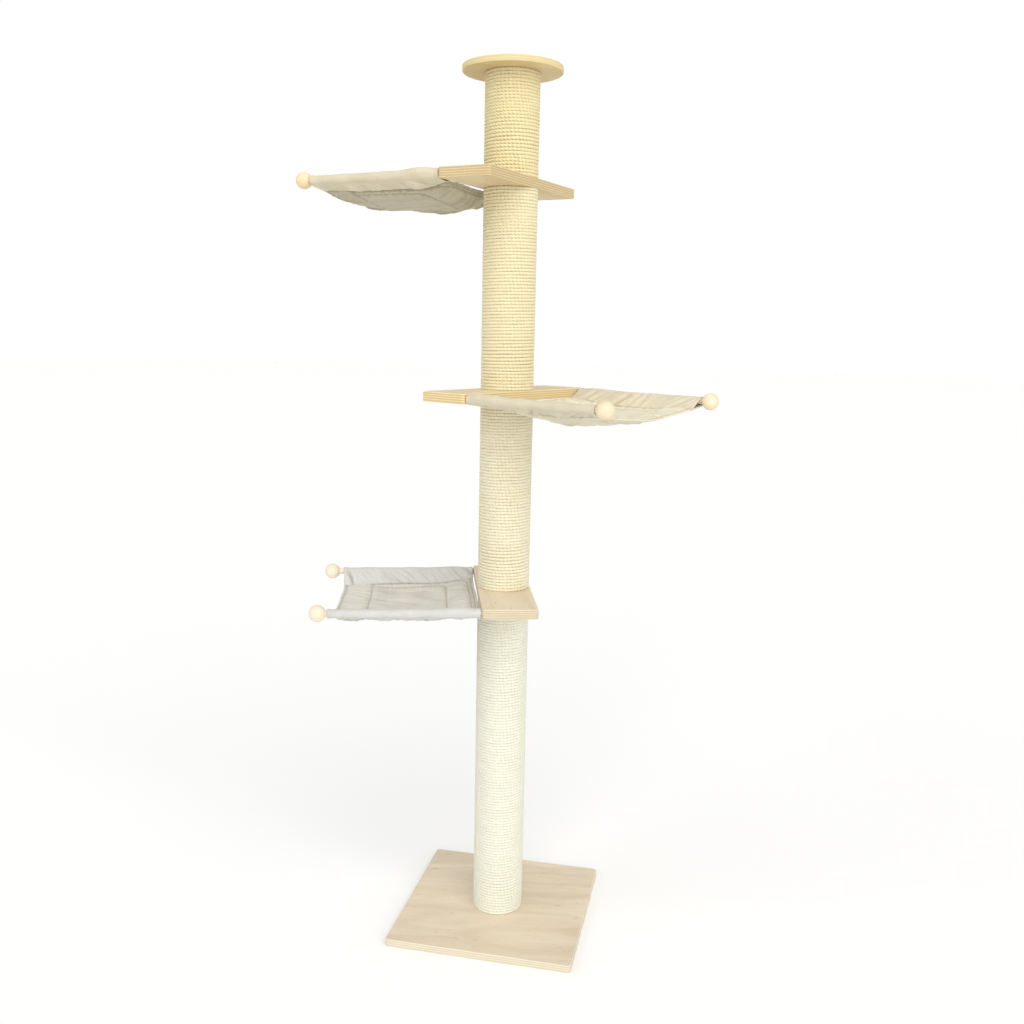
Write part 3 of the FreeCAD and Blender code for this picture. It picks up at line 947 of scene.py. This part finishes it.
def settle(name, panel, sleeves):
    """The panel's and sleeves' points after a short cloth simulation over the two dowels."""
    points, numbers, grids = sew(panel, sleeves)
    cells = np.concatenate([sheet_cells(numbers)] + [sheet_cells(grid) for grid in grids.values()])
    mesh = bpy.data.meshes.new(name)
    mesh.from_pydata(points.tolist(), [], cells.tolist())
    cloth = add_object(name, mesh)
    pins = cloth.vertex_groups.new(name="pins")
    for grid in grids.values():
        on_top = grid[points[grid, 2] > PINNED_ABOVE]
        pins.add(on_top.ravel().tolist(), 1.0, "REPLACE")
    rods = [lay_rod(side) for side in grids]

    modifier = cloth.modifiers.new("cloth", "CLOTH")
    for setting, value in FABRIC.items():
        setattr(modifier.settings, setting, value)
    modifier.settings.vertex_group_mass = "pins"
    modifier.collision_settings.distance_min = 0.001
    modifier.collision_settings.collision_quality = 3
    modifier.point_cache.frame_start = 1
    modifier.point_cache.frame_end = SETTLING_FRAMES
    for number in range(1, SETTLING_FRAMES + 1):
        scene.frame_set(number)
    settled = cloth.evaluated_get(bpy.context.evaluated_depsgraph_get()).data
    moved = np.empty(len(points) * 3, np.float32)
    settled.vertices.foreach_get("co", moved)
    moved = points + SETTLED * (moved.reshape(-1, 3) - points)
    for thing in [cloth] + rods:
        bpy.data.objects.remove(thing)
    scene.frame_set(1)
    return moved[numbers], {side: moved[grid] for side, grid in grids.items()}


# %% [markdown]
# ## Hammocks: the quilting
# The settled cloth is a bare middle surface. It is made twice as fine, and then gets what sewing does
# to cloth. Padding swells away from every seam, small puckers pull across the thread, and slack
# between two seams gathers into soft folds that run out of the board and the open end.

# %% Finer points and their normals
def refine(points):
    """Twice as many rows and columns, on smooth curves through the points."""
    for axis in (0, 1):
        points = np.moveaxis(points, axis, 0)
        before = np.concatenate([points[:1], points[:-2]])
        after = np.concatenate([points[2:], points[-1:]])
        middle = (9 * (points[:-1] + points[1:]) - before - after) / 16
        finer = np.empty((2 * len(points) - 1, *points.shape[1:]))
        finer[::2] = points
        finer[1::2] = middle
        points = np.moveaxis(finer, 0, axis)
    return points


def surface_normals(points):
    """Unit normals of a grid of points; on the panel they point up."""
    cross = np.cross(np.gradient(points, axis=1), np.gradient(points, axis=0))
    return cross / np.maximum(np.linalg.norm(cross, axis=2, keepdims=True), 1e-12)


# %% Distance from the seams
def nearest_on(line, along, across):
    """Distance to a seam line, and how far along the line the nearest point is."""
    gaps = np.hypot(along[..., None] - line[:, 0], across[..., None] - line[:, 1])
    nearest = gaps.argmin(axis=-1)
    return gaps.min(axis=-1), nearest * SEAM_STEP


def wavy(place, lengths, draw):
    """A sum of sine waves of the given lengths, with drawn phases, from about -1 to 1."""
    total = sum(np.sin(2 * math.pi * (place / length + draw.random())) for length in lengths)
    return total / len(lengths) ** 0.7


def gathers(place, lengths, draw):
    """Like `wavy`, but with broad ridges and narrow valleys, as gathered cloth has."""
    total = 0
    for length in lengths:
        total = total + 2 * np.abs(np.sin(math.pi * (place / length + draw.random()))) ** 0.75 - 1.2
    return total / len(lengths) ** 0.7


def bump_between(value, low, high, soft):
    """1 between two limits and 0 outside them, easing over `soft`."""
    rise = np.clip((value - low) / soft, 0, 1)
    fall = np.clip((high - value) / soft, 0, 1)
    return (rise * rise * (3 - 2 * rise)) * (fall * fall * (3 - 2 * fall))


# %% Padding and puckers along the seams
PAD_THICK = 0.0105
SEAM_THICK = 0.0016
HEM_THICK = 0.0034
PUCKER_DEPTH = 0.0013


def swell_from(nearest):
    """How full the padding is, from 0 on a seam to 1 far from every seam."""
    return 1 - np.exp(-nearest / 0.0065)


def padding(along, nearest):
    """The quilt's thickness; the two hems are turned over and flat."""
    thick = SEAM_THICK + (PAD_THICK - SEAM_THICK) * swell_from(nearest)
    edge = np.minimum(along, CLOTH_LENGTH - along)
    return np.where(edge < HEM_WIDTH, HEM_THICK - 0.0014 * (edge / HEM_WIDTH) ** 6, thick)


def seam_puckers(along, across, draw):
    """Ripples that fade away from each seam, and the distance to the nearest seam."""
    distances, puckers = [], 0
    for name, line in SEAMS.items():
        distance, travelled = nearest_on(line, along, across)
        distances.append(distance)
        reach = 0.017 if name in ("cross", "inner") else 0.010
        ripple = wavy(travelled, (0.0125, 0.0178, 0.0272), draw)
        puckers = puckers + PUCKER_DEPTH * ripple * np.exp(-distance / reach)
    nearest = np.minimum.reduce(distances)
    return puckers * np.clip(nearest / 0.0015, 0.35, 1), nearest


# %% Folds between the seams
OPEN_FOLDS = 0.0034
BOARD_FOLDS = 0.0038
FIELD_FOLDS = 0.0014
BROAD_FOLDS = 0.0016
FIELD_START = 0.078
CREASES = 5


def crease(along, across, draw):
    """One narrow valley with a soft ridge beside it, somewhere in the middle of the quilt."""
    start = (draw.uniform(0.06, 0.16), draw.uniform(-0.12, 0.12))
    turn = draw.uniform(-0.35, 0.35)
    size = draw.uniform(0.0024, 0.0042)
    onward = (along - start[0]) * math.cos(turn) + (across - start[1]) * math.sin(turn)
    aside = -(along - start[0]) * math.sin(turn) + (across - start[1]) * math.cos(turn)
    valley = np.exp(-((aside / 0.0055) ** 2)) - 0.5 * np.exp(-(((aside - 0.009) / 0.009) ** 2))
    return -size * valley * bump_between(onward, 0.0, draw.uniform(0.09, 0.17), 0.035)


def quilt_folds(along, across, draw):
    """Gathers at the open end and the board, and flatter folds and creases between them."""
    skew = across + 0.04 * (along - CLOTH_LENGTH / 2) + 0.004 * wavy(along, (0.11, 0.07), draw)
    off_sleeves = bump_between(np.abs(across), -1, 0.150, 0.03)
    open_zone = bump_between(along, CROSS_SEAM, CLOTH_LENGTH - HEM_WIDTH, 0.022)
    board_zone = bump_between(along, 0.016, FIELD_START, 0.022) * off_sleeves
    field = bump_between(along, FIELD_START, CROSS_SEAM, 0.03) * off_sleeves
    folds = OPEN_FOLDS * open_zone * gathers(skew, (0.0215, 0.0317, 0.047), draw)
    at_board = gathers(skew + 0.3 * along, (0.0262, 0.0377, 0.061), draw)
    in_field = gathers(skew + 0.14 * along, (0.047, 0.071), draw)
    folds = folds + BOARD_FOLDS * board_zone * at_board + FIELD_FOLDS * field * in_field
    for _ in range(CREASES):
        folds = folds + field * crease(along, across, draw)
    return folds


def quilt_relief(along, across, draw):
    """How far each point moves along its normal, and its distance from the nearest seam."""
    puckers, nearest = seam_puckers(along, across, draw)
    folds = quilt_folds(along, across, draw)
    broad = BROAD_FOLDS * wavy(along + 0.6 * across, (0.13, 0.19), draw)
    broad = broad * wavy(across - 0.4 * along, (0.15, 0.23), draw)
    return puckers + folds + broad * swell_from(nearest), nearest


# %% [markdown]
# The sleeves are a single canvas, pulled on the bias by the weight in the middle. Their folds run
# down and towards the board, steep beside the dowel and fading towards the seam. They are added only
# where the canvas is free of its dowel. Near the board it also stands off the top of the dowel.

# %% Folds of one sleeve
SLEEVE_FOLDS = 0.0040
HANGING_FOLDS = 0.0040


def sleeve_folds(points, side, puff, draw):
    """How far each point of a sleeve moves outward: in its folds, and off the top of its dowel."""
    along = points[..., 0] - CLOTH_START
    inward = DOWEL_SIDE - side * points[..., 1]
    below = -points[..., 2]
    free = np.clip((inward - 0.002) / 0.014, 0, 1) * np.clip((0.050 - inward) / 0.016, 0, 1)
    ends = np.clip(along / 0.02, 0, 1) * np.clip((CLOTH_LENGTH - along) / 0.03, 0, 1)
    slant = along + (0.9 + 0.5 * wavy(along, (0.31, 0.19), draw)) * inward
    strength = np.clip(0.55 + 0.75 * wavy(along, (0.17, 0.083), draw), 0.1, 1.3)
    under = np.linspace(0, 1, points.shape[1])[None, :] > 0.5
    folds = SLEEVE_FOLDS * strength * gathers(slant, (0.0335, 0.0487, 0.0262), draw) * free * ends
    folds = folds + 0.0007 * wavy(along + 1.4 * below, (0.0142, 0.0211), draw) * free
    slack = np.clip(wavy(along, (0.061, 0.097, 0.151), draw), -0.2, 1)
    hanging = HANGING_FOLDS * slack * free * ends
    over = np.clip(0.5 - below / DOWEL_RADIUS, 0, 1) * np.exp(-(((along - 0.060) / 0.038) ** 2))
    return np.where(under, folds + hanging, folds), puff * over


# %% [markdown]
# A grid of points becomes a piece through `create_grid`. Its UVs are the flat cut in metres, so weave
# and stitches keep their true size, and an attribute keeps each point's distance from the nearest
# seam for the material, and another its relief, how far it stands out or lies in a fold. Solidify
# then gives it its thickness: the vertex group says where the padding is full, and the mesh stays one
# closed skin.

# %% Cloth from a grid of points
def grid_piece(name, points, flat, thick, marks, material):
    """A closed cloth piece from rows and columns of points, with marks for its material."""
    rows, columns = points.shape[:2]
    bm = bmesh.new()
    bmesh.ops.create_grid(bm, x_segments=columns - 1, y_segments=rows - 1, size=1.0)
    layer = bm.loops.layers.uv.new("flat")
    cell = [
        (round((v.co.y + 1) / 2 * (rows - 1)), round((v.co.x + 1) / 2 * (columns - 1)))
        for v in bm.verts
    ]
    for face in bm.faces:
        face.smooth = True
        for loop in face.loops:
            loop[layer].uv = flat[cell[loop.vert.index]]
    mesh = mesh_from(bm, name)
    row, column = np.array(cell).T
    mesh.vertices.foreach_set("co", points[row, column].astype(np.float32).ravel())
    mesh.update()
    mesh.materials.append(material)
    for mark, values in marks.items():
        layer = mesh.attributes.new(mark, "FLOAT", "POINT")
        layer.data.foreach_set("value", values[row, column].astype(np.float32))
    piece = add_object(name, mesh)
    group = piece.vertex_groups.new(name="padding")
    share = np.round(thick / thick.max(), 3)[row, column]
    for value in np.unique(share):
        group.add(np.flatnonzero(share == value).tolist(), float(value), "REPLACE")
    wall = piece.modifiers.new("padding", "SOLIDIFY")
    wall.thickness = float(thick.max())
    wall.offset = 0.0
    wall.vertex_group = "padding"
    return piece


def apply_modifiers(piece):
    """Makes a piece's evaluated mesh its own."""
    evaluated = piece.evaluated_get(bpy.context.evaluated_depsgraph_get())
    finished = bpy.data.meshes.new_from_object(evaluated)
    piece.modifiers.clear()
    piece.data = finished
    return finished


# %% [markdown]
# Stitches are what makes a seam read as sewn. Each is a little thread, 2.6 mm long, that dips into
# the cloth at both ends, one on each face. They repeat by the hundred, so each has only a few faces.

# %% Stitches along every seam
STITCH_PITCH = 0.0038
STITCH_LENGTH = 0.0027
STITCH_RADIUS = 0.00032


def stitch_shape():
    """One stitch along X: a slim drop of six sides."""
    bm = bmesh.new()
    bmesh.ops.create_uvsphere(bm, u_segments=6, v_segments=4, radius=1.0)
    bmesh.ops.rotate(bm, verts=bm.verts, matrix=Matrix.Rotation(math.pi / 2, 3, "Y"))
    bmesh.ops.scale(bm, verts=bm.verts, vec=(STITCH_LENGTH / 2, STITCH_RADIUS, STITCH_RADIUS))
    return mesh_from(bm, "stitch")


def spots_on(points, normals, thick, spots):
    """The panel's points, normals and thicknesses at spots given on its flat cut."""
    rows, columns = points.shape[0] - 1, points.shape[1] - 1
    row = spots[:, 0] / CLOTH_LENGTH * rows
    column = (HALF_WIDTH - spots[:, 1]) / (2 * HALF_WIDTH) * columns
    r0 = np.clip(row.astype(int), 0, rows - 1)
    c0 = np.clip(column.astype(int), 0, columns - 1)
    fr, fc = (row - r0)[:, None], (column - c0)[:, None]
    near = points[r0, c0] * (1 - fc) + points[r0, c0 + 1] * fc
    far = points[r0 + 1, c0] * (1 - fc) + points[r0 + 1, c0 + 1] * fc
    return near * (1 - fr) + far * fr, normals[r0, c0], thick[r0, c0]


def stitch_places(points, thick):
    """Where each stitch goes: its middle, its direction and the cloth's normal, on both faces."""
    places = []
    normals = surface_normals(points)
    every = round(STITCH_PITCH / SEAM_STEP)
    for line in SEAMS.values():
        here = line[:-every:every]
        there = line[every::every][: len(here)]
        start, normal, wall = spots_on(points, normals, thick, here)
        stop = spots_on(points, normals, thick, there)[0]
        for face in (1, -1):
            lifted = (start + stop) / 2 + face * normal * (wall[:, None] / 2 + STITCH_RADIUS * 0.3)
            places += list(zip(lifted, stop - start, face * normal))
    return places


def sew_stitches(name, places, material):
    """All the stitches of one hammock as one piece."""
    shape = stitch_shape()
    bm = bmesh.new()
    for _ in places:
        bm.from_mesh(shape)
    for face in bm.faces:
        face.smooth = True
    mesh = mesh_from(bm, name)
    drop = np.array([tuple(v.co) for v in shape.vertices])
    coordinates = []
    for middle, onward, up in places:
        x = onward / np.linalg.norm(onward)
        y = np.cross(up, x)
        y /= np.linalg.norm(y)
        coordinates.append(middle + drop @ np.stack([x, y, np.cross(x, y)]))
    mesh.vertices.foreach_set("co", np.concatenate(coordinates).astype(np.float32).ravel())
    mesh.update()
    mesh.materials.append(material)
    bpy.data.meshes.remove(shape)
    return add_object(name, mesh)


# %% [markdown]
# ## Hammocks: the cloth's look
# Both cloths are undyed cotton. The canvas of the sleeves is tight and pale, the quilt's cover is a
# softer greige with more slub, turned over twice at its two hems. Bump from the weave is
# small against the folds, which are real geometry. Shade is painted into the colour along a seam,
# down in a fold and between the threads, so all are darker there, and handling shows as faint patches.

# %% Cotton material
SEAM_SHADE = 0.55
FOLD_SHADE = 0.60


def cotton(name, pale, dark, thread, weave_depth):
    """Woven cotton, with painted shade along its seams, down in its folds and between its threads."""
    material, tree, shader = new_material(
        name, Roughness=0.88, Specular_IOR_Level=0.2, Sheen_Weight=0.18, Sheen_Roughness=0.5
    )
    flat = place_node(tree, "UVMap", uv_map="flat").outputs[0]
    cloth = use_group(tree, weave, Flat=flat, Thread=thread)
    position = place_node(tree, "TexCoord").outputs["Object"]
    tone = blend_colours(tree, rescale(tree, cloth["Slub"], 0.0, 1.0, 0.0, 0.55), pale, dark)
    patches = stretched_noise(tree, position, (16.0, 16.0, 16.0), 3.0, 0.6)
    tone = blend_colours(tree, rescale(tree, patches, 0.42, 0.75, 0.0, 0.45), tone, dark)
    # Painted shade: the cloth is darker along each seam.
    gap = place_node(tree, "Attribute", attribute_name="seam_gap").outputs["Fac"]
    painted_seam_shade = rescale(tree, gap, 0.0008, 0.0042, SEAM_SHADE, 0.0)
    tone = blend_colours(tree, painted_seam_shade, tone, dark, "MULTIPLY")
    # Painted shade: the cloth is darker down in each fold.
    relief = place_node(tree, "Attribute", attribute_name="relief").outputs["Fac"]
    painted_fold_shade = rescale(tree, relief, -0.0042, 0.0006, FOLD_SHADE, 0.0)
    tone = blend_colours(tree, painted_fold_shade, tone, dark, "MULTIPLY")
    # Painted shade: the gaps between the threads are darkened.
    gaps = rescale(tree, cloth["Height"], 0.1, 0.7, 0.35, 0.0)
    tone = blend_colours(tree, gaps, tone, dark, "MULTIPLY")
    crumple = stretched_noise(tree, position, (85.0, 85.0, 85.0), 3.0, 0.8)
    height = calculate(tree, "MULTIPLY_ADD", crumple, 1.6, cloth["Height"])
    finish_material(tree, shader, tone, height, weave_depth)
    return material


CANVAS_TONES = {
    "lower": (srgb(218, 217, 214), srgb(192, 191, 187)),
    "middle": (srgb(227, 218, 195), srgb(203, 192, 165)),
    "upper": (srgb(226, 216, 191), srgb(202, 190, 160)),
}
QUILT_TONES = {
    "lower": (srgb(225, 223, 213), srgb(200, 196, 185)),
    "middle": (srgb(240, 233, 210), srgb(216, 207, 181)),
    # The upper quilt is seen only from below: its darker tones are partly its own colour and partly
    # painted shade for that underside.
    "upper": (srgb(202, 194, 170), srgb(177, 167, 141)),
}


def sewing_thread(name, colour):
    """Twisted cotton thread."""
    material, tree, shader = new_material(name, Roughness=0.7, Specular_IOR_Level=0.3)
    position = place_node(tree, "TexCoord").outputs["Object"]
    twist = place_node(tree, "TexWave", {"Vector": position, "Scale": 900.0}).outputs["Fac"]
    tone = blend_colours(tree, rescale(tree, twist, 0.0, 1.0, 0.0, 0.3), colour, srgb(160, 154, 140))
    finish_material(tree, shader, tone, twist, 0.0001)
    return material


# %% [markdown]
# One drawing of random numbers goes through a hammock from its slack to its last fold, so each of the
# three is its own and stays the same on every run. Its pieces are made in the platform's plain
# coordinates, and `carried` takes them to their places.

# %% Steps for one hammock
def carried(points, platform):
    """Points in a platform's coordinates as points of the whole tree."""
    place = np.array(PLACES[platform])
    return points @ place[:3, :3].T + place[:3, 3]


def hang_cloth(platform, draw):
    """The settled middle surfaces of the panel and of the two sleeves."""
    hang = HANG[platform]
    wander = [
        (draw.uniform(0.0012, 0.0026), draw.uniform(2.2, 6.0), draw.random(), n)
        for n in (1, 2, 3, 4, 5)
    ]
    panel = panel_start(LENGTH_STEPS, hang, wander)
    sleeves = {
        side: sleeve_start(LENGTH_STEPS, side, draw.uniform(0.0015, 0.0025), hang, draw.uniform(0, 6))
        for side in (1, -1)
    }
    panel, sleeves = settle(f"{platform}_cloth", panel, sleeves)
    depth, hem = panel[..., 2].min(), panel[-1, :, 2].min()
    print(f"{platform}: cloth hangs to {depth:.4f} m, open hem to {hem:.4f} m")
    return panel, sleeves


def flat_grid(shape, first, second):
    """Flat coordinates of a grid of points: metres along, and metres the other way."""
    ways = np.meshgrid(
        np.linspace(0, CLOTH_LENGTH, shape[0]), np.linspace(first, second, shape[1]), indexing="ij"
    )
    return np.stack(ways, axis=2)


def make_panel(platform, middle, cotton_cover, draw):
    """The quilted panel; gives back its middle surface and its thickness for the stitches."""
    points = refine(middle)
    flat = flat_grid(points.shape, HALF_WIDTH, -HALF_WIDTH)
    relief, seam_gap = quilt_relief(flat[..., 0], flat[..., 1], draw)
    thick = padding(flat[..., 0], seam_gap)
    points = points + surface_normals(points) * relief[..., None]
    marks = {"seam_gap": seam_gap, "relief": relief}
    name = f"{platform}_quilted_panel"
    panel = grid_piece(name, carried(points, platform), flat, thick, marks, cotton_cover)
    apply_modifiers(panel)
    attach(panel, f"{platform}_hammock")
    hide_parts(f"{platform}_hammock")
    return points, thick


def make_sleeve(platform, side, middle, canvas, draw):
    """One sleeve: `side` is 1 for the left and -1 for the right."""
    word = "left" if side > 0 else "right"
    points = refine(middle)
    normals = surface_normals(points) * side
    relief, puff = sleeve_folds(points, side, HANG[platform]["puff"], draw)
    points = points - normals * (relief + puff)[..., None]
    cut = float(np.linalg.norm(np.diff(points, axis=1), axis=2).sum(axis=1).mean())
    flat = flat_grid(points.shape, 0, cut)
    edge = np.minimum(flat[..., 0], CLOTH_LENGTH - flat[..., 0])
    thick = np.where(edge < HEM_WIDTH, 2 * SLEEVE_THICK, SLEEVE_THICK)
    marks = {"seam_gap": np.minimum(flat[..., 1], cut - flat[..., 1]), "relief": relief}
    name = f"{platform}_{word}_sleeve"
    sleeve = grid_piece(name, carried(points, platform), flat, thick, marks, canvas)
    apply_modifiers(sleeve)
    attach(sleeve, f"{platform}_hammock")
    print(f"{name}: cut {cut:.3f} x {CLOTH_LENGTH:.3f} m, {len(sleeve.data.polygons)} faces")


# %% Make the three hammocks
for seed, platform in enumerate(PLATFORMS, start=41):
    draw = random.Random(seed)
    panel, sleeves = hang_cloth(platform, draw)
    canvas = cotton(f"{platform}_canvas", *CANVAS_TONES[platform], thread=0.0011, weave_depth=0.00020)
    quilt = cotton(f"{platform}_quilt", *QUILT_TONES[platform], thread=0.0009, weave_depth=0.00022)
    thread = sewing_thread(f"{platform}_thread", QUILT_TONES[platform][1])

    points, thick = make_panel(platform, panel, quilt, draw)
    turn = np.array(PLACES[platform])[:3, :3]
    places = [(carried(m, platform), turn @ o, turn @ u) for m, o, u in stitch_places(points, thick)]
    stitches = sew_stitches(f"{platform}_stitches", places, thread)
    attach(stitches, f"{platform}_hammock")
    print(f"{platform}_stitches: {len(places)}")
    for side, sleeve in sleeves.items():
        make_sleeve(platform, side, sleeve, canvas, draw)

# %% [markdown]
# ## The jack spindle
# The spindle that presses the plate against the ceiling has a trapezoidal thread, 16 mm across with a
# 4 mm pitch. It shows only when the plate is screwed up. It starts as a smooth bar with many rings,
# and each point's distance from the axis then follows the thread's profile: how far round plus how
# far up, in pitches, says whether the point is on the crest, on a flank or at the root.

# %% Threaded spindle
THREAD_PITCH = 0.004
THREAD_DEPTH = 0.0022
THREAD_SIDES = 40


def thread_radius(height, angle, crest, low, high):
    """Distance from the axis at a height and angle; the thread runs out at both ends."""
    turn = (height / THREAD_PITCH - angle / (2 * math.pi)) % 1.0
    from_root = abs(turn - 0.5) * 2
    tooth = min(max((from_root - 0.34) / 0.28, 0.0), 1.0)
    inside = min(max(min(height - low, high - height) / 0.003, 0.0), 1.0)
    return crest - THREAD_DEPTH * (1 - tooth) * inside


spindle_low, spindle_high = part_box("jack_spindle")
plate_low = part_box("ceiling_plate")[0].z
crest = (spindle_high.x - spindle_low.x) / 2
length = spindle_high.z - spindle_low.z
rings = round(length / (THREAD_PITCH / 12))

bm = bmesh.new()
bmesh.ops.create_grid(bm, x_segments=THREAD_SIDES, y_segments=rings, size=1.0)
for vert in bm.verts:
    angle = (vert.co.x + 1) * math.pi
    height = (vert.co.y + 1) / 2 * length
    radius = thread_radius(height, angle, crest, 0.002, plate_low - spindle_low.z - 0.001)
    radius -= max(0.0, 0.0015 - height)
    vert.co = (radius * math.cos(angle), radius * math.sin(angle), spindle_low.z + height)
bmesh.ops.remove_doubles(bm, verts=bm.verts, dist=1e-6)
bmesh.ops.holes_fill(bm, edges=bm.edges, sides=0)
bmesh.ops.recalc_face_normals(bm, faces=bm.faces)
for face in bm.faces:
    face.smooth = len(face.verts) == 4
open_edges = sum(1 for edge in bm.edges if not edge.is_manifold)
spindle = add_object("threaded_spindle", mesh_from(bm, "threaded_spindle"))
spindle.data.materials.append(steel)
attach(spindle, "jack_spindle")
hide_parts("jack_spindle")
print(f"spindle: {length * 1000:.0f} mm, {rings} rings, open edges {open_edges}")

# %% [markdown]
# ## Floor
# A pale floor, wide enough to run out of sight in every direction.

# %% Lay the floor
FLOOR_RADIUS = 40.0

bm = bmesh.new()
bmesh.ops.create_circle(bm, cap_ends=True, segments=96, radius=FLOOR_RADIUS)
floor = add_object("floor", mesh_from(bm, "floor"))
material, tree, shader = new_material("studio_floor", Roughness=0.8, Specular_IOR_Level=0.1)
shader.inputs["Base Color"].default_value = (0.93, 0.93, 0.93, 1.0)
shader.inputs["Emission Color"].default_value = (1.0, 1.0, 1.0, 1.0)
shader.inputs["Emission Strength"].default_value = 0.04
floor.data.materials.append(material)
